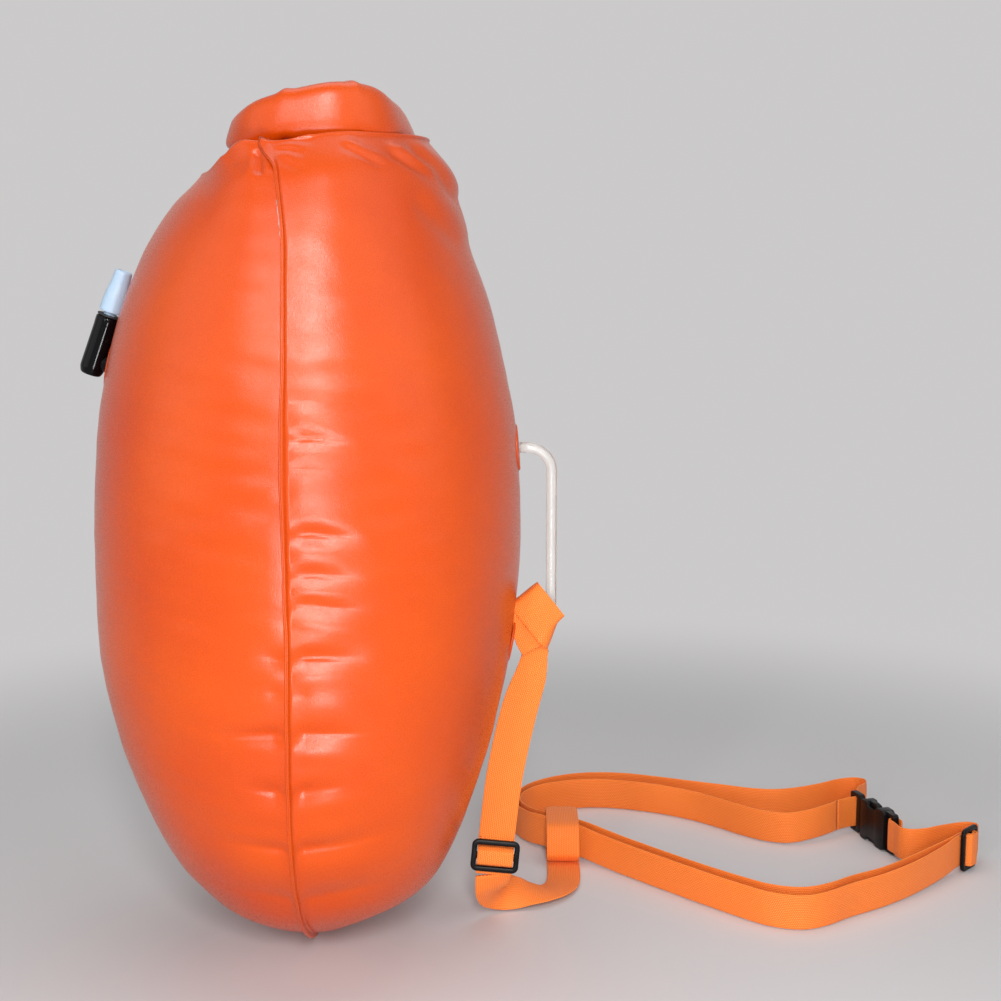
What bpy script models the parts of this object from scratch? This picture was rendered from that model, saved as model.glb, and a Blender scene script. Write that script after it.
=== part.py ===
"""Swim buoy dry bag: an inflated pillow of PVC film with a rolled mouth, an oral valve,
a rod handle, a tether and an adjustable waist belt.

Metres, +Z up. The pieces are drawn over the floor that the bag's tip and the belt touch,
and one empty carries them all, so that the world origin is the middle of the mouth ring's
top, where a hand or a hook holds the bag. The valve is on the -X side, the handle on +X,
and the weld seam lies in the plane x = 0.
"""
import math

import bmesh
import bpy
import numpy as np
from mathutils import Matrix, Vector

# Film and weld
FILM = 0.0010
DIVIDER_FILM = 0.0006
GAP = 0.0003
WELD_FLANGE = 0.005

# Inflated body, seam bottom to the underside of the rolled mouth
BODY_HEIGHT = 0.530
BODY_HALF_WIDTH = 0.140
FRONT_DEPTH = 0.1415
BACK_DEPTH = 0.1365
TIP_HALF_WIDTH = 0.008
DIVIDER_DEPTH = 0.030
BODY_HEIGHT_SHARES = (0.0, 0.018, 0.055, 0.11, 0.185, 0.28, 0.40, 0.52, 0.64, 0.76, 0.87, 0.945, 0.985)
FRONT_DEPTH_SHARES = (0.0, 0.26, 0.55, 0.735, 0.865, 0.955, 0.995, 1.0, 0.975, 0.895, 0.755, 0.615, 0.475)
BACK_DEPTH_SHARES = (0.0, 0.21, 0.45, 0.585, 0.70, 0.84, 0.965, 1.0, 0.98, 0.90, 0.80, 0.74, 0.62)
HALF_WIDTH_SHARES = (0.06, 0.27, 0.50, 0.70, 0.87, 0.965, 1.0, 1.0, 0.985, 0.95, 0.88, 0.79, 0.70)
SECTION_POWER = 0.94
PANEL_ROWS = 22
PANEL_COLUMNS = 17
NECK_ROWS = 5
ROW_CROWDING = 1.35
DIVIDER_TOP_SHARE = 0.93
DIVIDER_TURN_SHARE = 0.70
DIVIDER_TOP_CLEARANCE = 0.0015

# Rolled mouth, bent into a ring that is open on the valve side
RING_CENTRE_X = 0.009
RING_HALF_X = BODY_HALF_WIDTH * 0.33
RING_HALF_Y = BODY_HALF_WIDTH * 0.56
RING_POWER = 3.0
RING_OPEN_HALF_ANGLE = 32.0
MOUTH_HALF_ANGLE = 90.0
ROLL_HEIGHT = 0.036
ROLL_THICKNESS = 0.024
ROLL_LEAN_SHARE = 0.35
ROLL_DROP_SHARE = 0.30
ROLL_STEPS = 27
ROLL_CORNER = 0.0105
ROLL_CORNER_STEPS = 4
NECK_RISE = 0.0025
ROLL_BASE = WELD_FLANGE + BODY_HEIGHT + NECK_RISE
MOUTH_CLEARANCE = 0.0022
STIFFENER_HEIGHT = 0.020
STIFFENER_THICKNESS = 0.0015

# Webbing
WEBBING_WIDTH = 0.025
WEBBING_THICKNESS = 0.0015
TAB_WIDTH = 0.020
TAB_THICKNESS = 0.0012
ROLL_BUCKLE_X = -0.043

# Valve, in order down the riser's axis
VALVE_HEIGHT = 0.396
ELBOW_STANDOFF = 0.0120
ELBOW_FOOT = 0.0095
LEG_DIAMETER = 0.0120
LEG_BORE = 0.0070
LEG_INSIDE = 0.0040
RISER_DIAMETER = 0.0165
RISER_BORE = 0.0095
RISER_HEIGHT = 0.031
SEAL_THICKNESS = 0.0012
SEAL_BORE = 0.0092
MOUTHPIECE_TRAVEL = 0.0024
MOUTHPIECE_LENGTH = 0.0280
MOUTHPIECE_BASE_DIAMETER = 0.0160
MOUTHPIECE_WAIST_DIAMETER = 0.0125
MOUTHPIECE_TIP_DIAMETER = 0.0112
MOUTHPIECE_BORE = 0.0064
MOUTHPIECE_SKIRT_DIAMETER = 0.0086
MOUTHPIECE_SKIRT = 0.0070
SPIDER_THICKNESS = 0.0012
SPRING_HEIGHT = 0.0080
SPRING_DIAMETER = 0.0072
SPRING_WIRE = 0.0007
SPRING_TURNS = 4
SEAT_THICKNESS = 0.0020
SEAT_BORE = 0.0056
STEM_DIAMETER = 0.0022
POPPET_DIAMETER = 0.0084
POPPET_THICKNESS = 0.0015
VALVE_FLANGE_RADIUS = 0.017
VALVE_FLANGE_THICKNESS = 0.0015

# Handle
ROD_DIAMETER = 0.0072
HANDLE_TOP = 0.3405
HANDLE_BOTTOM = 0.2090
HANDLE_STANDOFF = 0.0210
HANDLE_BEND = 0.0160
LOWER_END_RISE = 0.0016
PATCH_RADIUS = 0.0155
PATCH_THICKNESS = 0.0014

# Side release buckles: all sizes are shares of the width of the webbing they take
BUCKLE_SHARES = {
    "half_height": 0.64,
    "bar": 0.14,
    "slot": 0.26,
    "frame_end": 0.70,
    "frame_thickness": 0.18,
    "guide_half": 0.10,
    "guide_end": 1.84,
    "guide_thickness": 0.10,
    "prong_start": 0.712,
    "prong_half": 0.34,
    "prong_width": 0.12,
    "prong_thickness": 0.168,
    "barb_start": 1.23,
    "barb_outer": 0.665,
    "barb_inner": 0.48,
    "prong_end": 1.78,
    "mouth": 0.86,
    "collar_end": 1.20,
    "side_wall": 0.055,
    "cavity_thickness": 0.22,
    "cavity_end": 1.94,
    "waist_half": 0.50,
    "rear_wall": 1.84,
    "housing_end": 2.32,
    "housing_thickness": 0.40,
    "housing_bar": 2.60,
    "rim": 0.11,
}

# Adjusters
SLIDER_LENGTH = 0.023
SLIDER_RIM = 0.0042
SLIDER_THICKNESS = 0.0030
SLIDER_BAR = 0.0036
SLIDER_SLOT = 0.0060
MAIN_BEHIND_SHARE = 0.75
MAIN_OVER_SHARE = 1.5
SEWN_BEHIND_SHARE = 2.0
WRAP_REACH_SHARE = 2.7
WRAP_OFF_SHARE = 2.6

# Tether: heights over the floor and places seen from the camera's side
KNOT_CENTRE = (0.1525, 0.0, 0.2235)
KNOT_HALF_X = 0.0128
KNOT_HALF_Y = 0.0085
KNOT_OPEN_HALF_ANGLE = 45.0
KNOT_THICKNESS = 0.0045
KNOT_HEIGHT = 0.040
TETHER_SLIDER_CENTRE = (0.1240, 0.0, 0.0540)
TETHER_ROUTE = (
    (0.1520, -0.0012, 0.2027),
    (0.1485, -0.0018, 0.1850),
    (0.1420, -0.0020, 0.1650),
    (0.1370, -0.0020, 0.1450),
    (0.1328, -0.0018, 0.1250),
    (0.1294, -0.0010, 0.1050),
    (0.1268, 0.0000, 0.0850),
)
TETHER_LAYER_STEP = 0.0022
LOOP_ROUTE = (
    (0.12265, 0.0030, 0.0392),
    (0.1220, 0.0100, 0.0265),
    (0.1238, 0.0220, 0.0180),
    (0.1300, 0.0345, 0.0140),
    (0.1410, 0.0440, 0.0110),
    (0.1540, 0.0510, 0.0080),
    (0.1660, 0.0620, 0.0050),
    (0.1730, 0.0780, 0.0028),
    (0.1755, 0.0970, 0.0014),
    (0.1760, 0.1180, 0.0011),
    (0.1760, 0.1315, 0.0011),
)
LOOP_WIDTH_DIRECTIONS = (
    (0.95, 0.10, 0.10),
    (0.90, 0.35, 0.10),
    (0.70, 0.35, 0.50),
    (0.25, 0.35, 0.70),
    (-0.10, 0.65, 0.55),
    (-0.35, 0.85, 0.25),
    (-0.75, 0.65, 0.05),
    (-0.95, 0.30, 0.0),
    (-1.0, 0.08, 0.0),
    (-1.0, 0.0, 0.0),
    (-1.0, 0.0, 0.0),
)
KEEPER_CENTRE_X = 0.1760
KEEPER_ROUTE = (
    (0.1275, 0.0034),
    (0.1232, 0.0085),
    (0.1240, 0.0150),
    (0.1285, 0.0235),
    (0.1350, 0.0294),
    (0.1500, 0.0304),
    (0.1640, 0.0304),
    (0.1750, 0.0294),
    (0.1828, 0.0225),
    (0.1840, 0.0110),
    (0.1815, 0.0040),
    (0.1770, 0.0012),
    (0.1650, 0.0011),
    (0.1500, 0.0011),
    (0.1320, 0.0011),
)

# Waist belt: it stands on its edge on the floor, and each point is (x, y, how far it is lifted)
KEEPER_LIFT = 0.0022
BUCKLE_LIFT = 1.6
WAIST_BUCKLE_END = (0.4170, 0.2125)
WAIST_BUCKLE_AXIS = (0.299, -0.954)
BELT_SLIDER_CENTRE = (0.4870, 0.1180)
BELT_SLIDER_AXIS = (0.66, 0.75)
BELT_OUTER_ROUTE = (
    (0.4600, 0.0910, 1.3),
    (0.4330, 0.0640, 0.5),
    (0.4060, 0.0420, 0.1),
    (0.3780, 0.0230, 0.0),
    (0.3560, 0.0060, 0.0),
    (0.3380, 0.0000, 0.0),
    (0.3180, 0.0060, 0.0),
    (0.2990, 0.0220, 0.0),
    (0.2670, 0.0550, 0.0),
    (0.2240, 0.1020, 0.0),
    (0.2050, 0.1230, 0.3),
    (0.1890, 0.1390, 1.0),
    (0.1760, 0.1500, 1.0),
    (0.1630, 0.1620, 1.0),
    (0.1500, 0.1770, 0.3),
    (0.1410, 0.1960, 0.0),
    (0.1390, 0.2140, 0.0),
    (0.1430, 0.2330, 0.0),
    (0.1550, 0.2540, 0.0),
    (0.1760, 0.2710, 0.0),
    (0.2010, 0.2800, 0.0),
    (0.2320, 0.2790, 0.0),
    (0.2640, 0.2680, 0.0),
    (0.2900, 0.2570, 0.0),
    (0.3150, 0.2470, 0.0),
    (0.3370, 0.2380, 0.0),
    (0.3560, 0.2350, 0.0),
    (0.3760, 0.2400, 0.0),
    (0.3960, 0.2490, 0.2),
    (0.4140, 0.2590, 0.5),
    (0.4280, 0.2610, 0.8),
    (0.4350, 0.2540, 1.1),
    (0.4335, 0.2440, 1.3),
    (0.4270, 0.2345, 1.5),
    (0.4225, 0.2253, 1.6),
)
BELT_INNER_ROUTE = (
    (0.4595, 0.0985, 1.3),
    (0.4350, 0.0780, 0.5),
    (0.4090, 0.0560, 0.1),
    (0.3820, 0.0390, 0.0),
    (0.3620, 0.0240, 0.0),
    (0.3430, 0.0160, 0.0),
    (0.3230, 0.0200, 0.0),
    (0.3040, 0.0340, 0.0),
    (0.2710, 0.0660, 0.0),
    (0.2290, 0.1120, 0.0),
    (0.2100, 0.1330, 0.3),
    (0.1940, 0.1480, 1.0),
    (0.1810, 0.1590, 1.0),
    (0.1680, 0.1690, 1.0),
    (0.1550, 0.1830, 0.3),
    (0.1460, 0.1990, 0.0),
    (0.1440, 0.2140, 0.0),
    (0.1480, 0.2300, 0.0),
    (0.1600, 0.2460, 0.0),
    (0.1820, 0.2580, 0.0),
    (0.2090, 0.2620, 0.0),
    (0.2360, 0.2570, 0.0),
    (0.2640, 0.2450, 0.0),
    (0.2880, 0.2290, 0.0),
    (0.3070, 0.2110, 0.0),
    (0.3240, 0.1930, 0.0),
    (0.3400, 0.1790, 0.2),
    (0.3570, 0.1720, 0.5),
    (0.3740, 0.1770, 0.9),
    (0.3900, 0.1870, 1.3),
    (0.4007, 0.19565, 1.6),
)
FEMALE_TAB_ROUTE = (
    (0.4947, 0.1312),
    (0.4978, 0.1350),
    (0.4985, 0.1395),
    (0.4945, 0.1430),
    (0.4860, 0.1425),
    (0.4700, 0.1360),
    (0.4560, 0.1290),
    (0.4440, 0.1270),
    (0.4372, 0.1315),
)
MALE_WRAP = (
    (0.0110, 0.0200),
    (0.0085, 0.0130),
    (0.0070, 0.0060),
    (0.0064, 0.0000),
    (0.0050, -0.0032),
    (0.0015, -0.0042),
    (-0.0040, -0.0056),
    (-0.0100, -0.0088),
)
STEPS_PER_POINT = 2
ROUND_SIDES = 20


def clear_scene():
    for old in list(bpy.data.objects):
        bpy.data.objects.remove(old, do_unlink=True)


def make_material(name, colour, roughness, metallic=0.0, transmission=0.0):
    material = bpy.data.materials.new(name)
    material.use_nodes = True
    shader = material.node_tree.nodes["Principled BSDF"]
    shader.inputs["Base Color"].default_value = (*colour, 1.0)
    shader.inputs["Roughness"].default_value = roughness
    shader.inputs["Metallic"].default_value = metallic
    shader.inputs["Transmission Weight"].default_value = transmission
    return material


clear_scene()
ORANGE_FILM = make_material("orange_film", (0.84, 0.11, 0.012), 0.35)
CLEAR_FILM = make_material("clear_film", (0.80, 0.82, 0.84), 0.25)
ORANGE_WEBBING = make_material("orange_webbing", (0.95, 0.21, 0.03), 0.75)
BLACK_PLASTIC = make_material("black_plastic", (0.012, 0.012, 0.015), 0.25)
BLUE_PLASTIC = make_material("blue_plastic", (0.42, 0.58, 0.74), 0.35)
SEAL_RUBBER = make_material("seal_rubber", (0.75, 0.77, 0.78), 0.5)
STEEL = make_material("steel", (0.6, 0.6, 0.6), 0.3, 1.0)
CLEAR_ROD = make_material("clear_rod", (0.85, 0.87, 0.88), 0.12, 0.0, 0.85)

floor_point = bpy.data.objects.new("floor_point", None)
floor_point.location = (-RING_CENTRE_X, 0, -(ROLL_BASE + ROLL_HEIGHT))
bpy.context.collection.objects.link(floor_point)


def pivot(name, frame, parent=None):
    """An empty that carries pieces drawn in their own frame, such as a hinge's."""
    empty = bpy.data.objects.new(name, None)
    empty.parent = parent or floor_point
    empty.matrix_local = frame
    bpy.context.collection.objects.link(empty)
    return empty


def add_piece(name, points, faces, material, parent=None, smooth=35.0):
    """A closed body from points and faces, with its normals turned out."""
    mesh = bpy.data.meshes.new(name)
    mesh.from_pydata([tuple(float(c) for c in p) for p in points], [], faces)
    shape = bmesh.new()
    shape.from_mesh(mesh)
    bmesh.ops.recalc_face_normals(shape, faces=shape.faces)
    shape.to_mesh(mesh)
    shape.free()
    mesh.shade_smooth()
    mesh.set_sharp_from_angle(angle=math.radians(smooth))
    mesh.materials.append(material)
    piece = bpy.data.objects.new(name, mesh)
    piece.parent = parent or floor_point
    bpy.context.collection.objects.link(piece)
    return piece


def cut(piece, cutter):
    """Take the cutter's volume away from the piece and leave the cutter out of the model."""
    cutter.hide_render = True
    cutter.display_type = "WIRE"
    modifier = piece.modifiers.new("cut_" + cutter.name, "BOOLEAN")
    modifier.operation = "DIFFERENCE"
    modifier.object = cutter
    modifier.solver = "EXACT"


def join_into(piece, other):
    """Unite another closed solid with the piece, as one moulding."""
    other.hide_render = True
    other.display_type = "WIRE"
    modifier = piece.modifiers.new("with_" + other.name, "BOOLEAN")
    modifier.operation = "UNION"
    modifier.object = other
    modifier.solver = "EXACT"


def curve_through(knots, values, at):
    """A smooth curve through the knots (Hermite, with slopes limited so it never overshoots)."""
    knots = np.asarray(knots, float)
    values = np.asarray(values, float)
    step = np.diff(knots)
    slope = np.diff(values) / step
    tangent = np.zeros(len(knots))
    tangent[0] = slope[0]
    tangent[-1] = slope[-1]
    rising = slope[:-1] * slope[1:] > 0
    mean = 2 * slope[:-1] * slope[1:] / np.where(rising, slope[:-1] + slope[1:], 1)
    tangent[1:-1] = np.where(rising, mean, 0)
    at = np.clip(np.asarray(at, float), knots[0], knots[-1])
    k = np.clip(np.searchsorted(knots, at, side="right") - 1, 0, len(step) - 1)
    t = (at - knots[k]) / step[k]
    return (
        (2 * t**3 - 3 * t**2 + 1) * values[k]
        + (t**3 - 2 * t**2 + t) * step[k] * tangent[k]
        + (3 * t**2 - 2 * t**3) * values[k + 1]
        + (t**3 - t**2) * step[k] * tangent[k + 1]
    )


def ring_place(angle, grow=0.0):
    """A point on the mouth ring's middle line: 0 degrees is the handle side, 90 the far side."""
    c = np.cos(np.radians(angle))
    s = np.sin(np.radians(angle))
    x = RING_CENTRE_X + (RING_HALF_X + grow) * np.sign(c) * np.abs(c) ** (2 / RING_POWER)
    y = (RING_HALF_Y + grow) * np.sign(s) * np.abs(s) ** (2 / RING_POWER)
    return x, y


def panel_level(height_share, side):
    """Depth and half width of one panel at a share of the body's height."""
    shares = FRONT_DEPTH_SHARES if side < 0 else BACK_DEPTH_SHARES
    depth = FRONT_DEPTH if side < 0 else BACK_DEPTH
    depth = depth * curve_through(BODY_HEIGHT_SHARES, shares, height_share)
    return depth, BODY_HALF_WIDTH * curve_through(BODY_HEIGHT_SHARES, HALF_WIDTH_SHARES, height_share)


def panel_point(side, height_share, across):
    """A point of the panel's inner face; across runs from -1 at the near seam to 1 at the far one."""
    depth, half = panel_level(height_share, side)
    turn = np.asarray(across) * math.pi / 2
    start = DIVIDER_FILM / 2 + GAP
    x = side * (start + depth * np.maximum(np.cos(turn), 0) ** SECTION_POWER)
    return np.stack(np.broadcast_arrays(x, half * np.sin(turn), WELD_FLANGE + BODY_HEIGHT * height_share), -1)


def panel_normal(side, height_share, across):
    """The outward normal of the panel, from two short steps on its surface."""
    step = 0.002
    up = panel_point(side, height_share + step, across) - panel_point(side, height_share - step, across)
    along = panel_point(side, height_share, across + step) - panel_point(side, height_share, across - step)
    normal = np.cross(along, up) * side
    normal = normal / np.linalg.norm(normal, axis=-1, keepdims=True)
    return normal


def mouth_line(side, across):
    """Where the panels' top edges meet under the roll, along the open ring."""
    angle = np.asarray(across) * MOUTH_HALF_ANGLE
    spread = side * (DIVIDER_FILM / 2 + GAP)
    x, y = ring_place(angle, spread)
    return np.stack(np.broadcast_arrays(x, y, np.full_like(x, ROLL_BASE - MOUTH_CLEARANCE)), -1)


def panel_shares():
    """The heights of the panels' rows below the neck, closer together at the tip."""
    return np.linspace(0, 1, PANEL_ROWS) ** ROW_CROWDING * BODY_HEIGHT_SHARES[-1]


def panel_rows(side):
    """Rows of points from the tip's weld to the mouth, seam to seam, on the panel's inner face."""
    shares = panel_shares()
    across = np.linspace(-1, 1, PANEL_COLUMNS)
    rows = [panel_point(side, share, across) for share in shares]
    top = mouth_line(side, across)
    start = rows[-1]
    rise = top[0, 2] - start[0, 2]
    for n in range(1, NECK_ROWS + 1):
        t = n / NECK_ROWS
        ease = t * t * (3 - 2 * t)
        row = start * (1 - ease) + top * ease
        row[:, 2] = start[:, 2] + rise * math.sin(t * math.pi / 2)
        rows.append(row)
    return np.array(rows)


def panel_grids():
    """Both panels' inner faces, front then back, with the weld flanges that lie against each other."""
    both = [panel_rows(-1), panel_rows(1)]
    middle = (both[0] + both[1]) / 2
    weld = DIVIDER_FILM / 2 + GAP
    grids = [[], []]
    rows = np.arange(len(middle))
    width = np.interp(rows, (PANEL_ROWS - 2, rows[-1]), (WELD_FLANGE, WELD_FLANGE / 5))
    for end, inner in ((0, 1), (-1, -2)):
        line = middle[:, end]
        along = np.gradient(line, axis=0)
        along /= np.linalg.norm(along, axis=1, keepdims=True)
        out = line - middle[:, inner]
        out[: PANEL_ROWS - 1, 0] = 0
        out -= along * np.sum(out * along, axis=1, keepdims=True)
        out /= np.linalg.norm(out, axis=1, keepdims=True)
        across = np.cross(along, out)
        across *= np.sign(np.sum(across * (both[1][:, inner] - both[0][:, inner]), axis=1, keepdims=True))
        for n, side in ((0, -1), (1, 1)):
            both[n][:, end] = line + across * weld * side
            grids[n].append((line + out * width[:, None] + across * weld * side)[:, None])
    result = []
    for n, side in ((0, -1), (1, 1)):
        body = np.concatenate([grids[n][0], both[n], grids[n][1]], axis=1)
        foot = body[0].copy()
        foot[:, 0] = weld * side
        foot[:, 1] = np.linspace(-1, 1, len(foot)) * TIP_HALF_WIDTH
        foot[:, 2] = 0
        result.append(np.concatenate([foot[None], body]))
    return result


def grid_faces(rows, columns):
    return [
        (r * columns + c, r * columns + c + 1, (r + 1) * columns + c + 1, (r + 1) * columns + c)
        for r in range(rows - 1)
        for c in range(columns - 1)
    ]


def film_shell(name, grid, thickness, outward, material):
    """A sheet of film: the grid is one face, and the wall grows to the side of outward."""
    rows, columns, _ = grid.shape
    mesh = bpy.data.meshes.new(name)
    mesh.from_pydata([tuple(p) for p in grid.reshape(-1, 3)], [], grid_faces(rows, columns))
    middle = mesh.polygons[(rows // 2) * (columns - 1) + columns // 2]
    if middle.normal.dot(Vector(outward)) < 0:
        mesh.flip_normals()
    mesh.shade_smooth()
    mesh.materials.append(material)
    piece = bpy.data.objects.new(name, mesh)
    piece.parent = floor_point
    bpy.context.collection.objects.link(piece)
    wall = piece.modifiers.new("film", "SOLIDIFY")
    wall.thickness = thickness
    wall.offset = 1
    wall.use_even_offset = True
    wall.use_rim = True
    return piece


def build_panels():
    front_grid, back_grid = panel_grids()
    front = film_shell("front_panel", front_grid, FILM, (-1, 0, 0), ORANGE_FILM)
    back = film_shell("back_panel", back_grid, FILM, (1, 0, 0), ORANGE_FILM)
    return front, back


def sweep(name, path, sides, ups, outline, material, parent=None, hollow=None):
    """Carry an outline along a path.

    path, sides and ups are one point and two directions for each station, and the outline's
    points are (along the side, along the up). hollow is a second outline, as long, that
    runs through the piece from end to end.
    """
    stations = len(path)
    count = len(outline)
    points = []
    for loop in (outline,) if hollow is None else (outline, hollow):
        for place, side, up in zip(path, sides, ups):
            points += [Vector(place) + Vector(side) * u + Vector(up) * v for u, v in loop]
    faces = []
    for start in range(0, len(points), stations * count):
        for r in range(stations - 1):
            for c in range(count):
                n = (c + 1) % count
                low = start + r * count
                faces.append((low + c, low + n, low + count + n, low + count + c))
    last = (stations - 1) * count
    if hollow is None:
        faces.append(tuple(range(count)))
        faces.append(tuple(range(last, last + count)))
    else:
        inner = stations * count
        for low in (0, last):
            for c in range(count):
                n = (c + 1) % count
                faces.append((low + c, low + n, inner + low + n, inner + low + c))
    return add_piece(name, points, faces, material, parent)


def rectangle(half_u, half_v):
    return [(half_u, half_v), (-half_u, half_v), (-half_u, -half_v), (half_u, -half_v)]


def rounded_rectangle(half_u, half_v, radius, steps=3):
    points = []
    for corner, (cu, cv) in enumerate(((1, 1), (-1, 1), (-1, -1), (1, -1))):
        for n in range(steps):
            angle = math.radians(90 * corner + 90 * n / (steps - 1))
            u = cu * (half_u - radius) + radius * math.cos(angle)
            v = cv * (half_v - radius) + radius * math.sin(angle)
            points.append((u, v))
    return points


def smooth_route(points, steps=STEPS_PER_POINT):
    """Points on a Catmull-Rom curve through the route's own points."""
    points = np.asarray(points, float)
    ends = np.concatenate([[2 * points[0] - points[1]], points, [2 * points[-1] - points[-2]]])
    out = []
    for k in range(1, len(ends) - 2):
        p0, p1, p2, p3 = ends[k - 1 : k + 3]
        for n in range(steps):
            t = n / steps
            out.append(
                0.5 * (2 * p1 + (p2 - p0) * t + (2 * p0 - 5 * p1 + 4 * p2 - p3) * t**2
                       + (3 * p1 - p0 - 3 * p2 + p3) * t**3)
            )
    out.append(points[-1])
    return np.array(out)


def strap(name, route, widths, material=None, width=WEBBING_WIDTH, parent=None, steps=STEPS_PER_POINT,
          thickness=WEBBING_THICKNESS):
    """A flat strap along a route; widths give the direction of its width at each route point."""
    path = smooth_route(route, steps)
    across = smooth_route(np.broadcast_to(widths, np.shape(route)), steps)
    along = np.gradient(path, axis=0)
    along /= np.linalg.norm(along, axis=1, keepdims=True)
    across = across - along * np.sum(across * along, axis=1, keepdims=True)
    across /= np.linalg.norm(across, axis=1, keepdims=True)
    normal = np.cross(along, across)
    outline = rectangle(width / 2, thickness / 2)
    return sweep(name, path, across, normal, outline, material or ORANGE_WEBBING, parent)


def cylinder(name, start, end, radius, material, parent=None, sides=ROUND_SIDES):
    start = Vector(start)
    end = Vector(end)
    axis = (end - start).normalized()
    side = axis.orthogonal().normalized()
    up = axis.cross(side)
    turn = [2 * math.pi * n / sides for n in range(sides)]
    outline = [(radius * math.cos(a), radius * math.sin(a)) for a in turn]
    return sweep(name, (start, end), (side, side), (up, up), outline, material, parent)


def turned(name, profile, frame, material, parent=None, sides=ROUND_SIDES):
    """A closed profile of (radius, height) turned about the frame's Z axis."""
    points = []
    for n in range(sides):
        angle = 2 * math.pi * n / sides
        points += [frame @ Vector((r * math.cos(angle), r * math.sin(angle), h)) for r, h in profile]
    count = len(profile)
    faces = []
    for n in range(sides):
        low = n * count
        high = (n + 1) % sides * count
        faces += [(low + c, low + (c + 1) % count, high + (c + 1) % count, high + c) for c in range(count)]
    return add_piece(name, points, faces, material, parent)


def plate(name, outline, low, high, material, parent=None):
    """An outline in the parent's XY plane, as thick as from low to high."""
    count = len(outline)
    points = [(x, y, z) for z in (low, high) for x, y in outline]
    faces = [(c, (c + 1) % count, count + (c + 1) % count, count + c) for c in range(count)]
    faces += [tuple(range(count)), tuple(range(count, 2 * count))]
    return add_piece(name, points, faces, material, parent)


def block(name, low, high, material, parent=None):
    outline = [(low[0], low[1]), (high[0], low[1]), (high[0], high[1]), (low[0], high[1])]
    return plate(name, outline, low[2], high[2], material, parent)


def frame_of(origin, x_axis, z_axis):
    """A frame at origin, with its X along x_axis and its Z as near as it can be to z_axis."""
    x = Vector(x_axis).normalized()
    y = Vector(z_axis).cross(x).normalized()
    z = x.cross(y)
    matrix = Matrix((x, y, z)).transposed().to_4x4()
    matrix.translation = Vector(origin)
    return matrix


def surface_share(height):
    return (height - WELD_FLANGE) / BODY_HEIGHT


def skin_point(side, height, across, off):
    """A point over the panel's outer face."""
    share = surface_share(height)
    return panel_point(side, share, across) + panel_normal(side, share, across) * (FILM + off)


def welded_disc(name, side, height, radius, thickness, hole, material, rings=3, sides=24):
    """A disc that follows the panel's outer face, solid or with a round hole."""
    half = panel_level(surface_share(height), side)[1]
    points = []
    radii = np.linspace(radius, hole, rings)
    for off in (GAP, GAP + thickness):
        for r in radii if hole else radii[:-1]:
            for n in range(sides):
                angle = 2 * math.pi * n / sides
                across = math.asin(r * math.cos(angle) / half) * 2 / math.pi
                points.append(skin_point(side, height + r * math.sin(angle), across, off))
        if not hole:
            points.append(skin_point(side, height, 0.0, off))
    loops = rings if hole else rings - 1
    layer = len(points) // 2
    faces = []
    for n in range(sides):
        m = (n + 1) % sides
        for base in (0, layer):
            for k in range(loops - 1):
                faces.append((base + k * sides + n, base + k * sides + m,
                              base + (k + 1) * sides + m, base + (k + 1) * sides + n))
            if not hole:
                low = base + (loops - 1) * sides
                faces.append((low + n, low + m, base + layer - 1))
        faces.append((n, m, layer + m, layer + n))
        if hole:
            low = (loops - 1) * sides
            faces.append((low + n, low + m, layer + low + m, layer + low + n))
    return add_piece(name, points, faces, material)


def build_divider():
    """The film between the air cell and the dry side, welded in the seams and, at its top, to the front."""
    front, back = panel_grids()
    shares = panel_shares()
    shares = shares[shares <= DIVIDER_TOP_SHARE]
    turn = np.cos(np.linspace(-1, 1, PANEL_COLUMNS) * math.pi / 2).clip(0)
    grid = (front + back)[1 : len(shares) + 1] / 2
    for row, share in zip(grid, shares):
        depth = panel_level(share, -1)[0]
        t = max((share - DIVIDER_TURN_SHARE) / (DIVIDER_TOP_SHARE - DIVIDER_TURN_SHARE), 0)
        ease = t * t * (3 - 2 * t)
        swell = DIVIDER_DEPTH * turn**2 * min(share / BODY_HEIGHT_SHARES[4], 1)
        seated = DIVIDER_TOP_CLEARANCE * np.minimum(turn * 4, 1) - depth * turn**SECTION_POWER
        row[1:-1, 0] = swell * (1 - ease) + seated * ease
    grid[..., 0] -= DIVIDER_FILM / 2
    film_shell("divider_film", grid, DIVIDER_FILM, (1, 0, 0), CLEAR_FILM)


def ring_stations(open_angle, steps):
    """Places along the mouth ring with the outward and upward directions at each.

    At the ring's two sides the roll leans inward and is pressed lower, so the upward
    direction there is a slanted and shorter one.
    """
    reach = 180 - open_angle
    angles = np.linspace(-reach, reach, steps + 1)
    fine = 0.5
    x, y = ring_place(angles)
    xa, ya = ring_place(angles - fine)
    xb, yb = ring_place(angles + fine)
    along = np.stack([xb - xa, yb - ya], 1)
    along /= np.linalg.norm(along, axis=1, keepdims=True)
    share = np.cos(np.radians(angles)) ** 2
    high = 1 - ROLL_DROP_SHARE * share
    path = [(a, b, ROLL_BASE + ROLL_HEIGHT / 2 * h) for a, b, h in zip(x, y, high)]
    out = [(t[1], -t[0], 0) for t in along]
    up = [(-t[1] * ROLL_LEAN_SHARE * w, t[0] * ROLL_LEAN_SHARE * w, h) for t, w, h in zip(along, share, high)]
    return path, out, up, along


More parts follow.
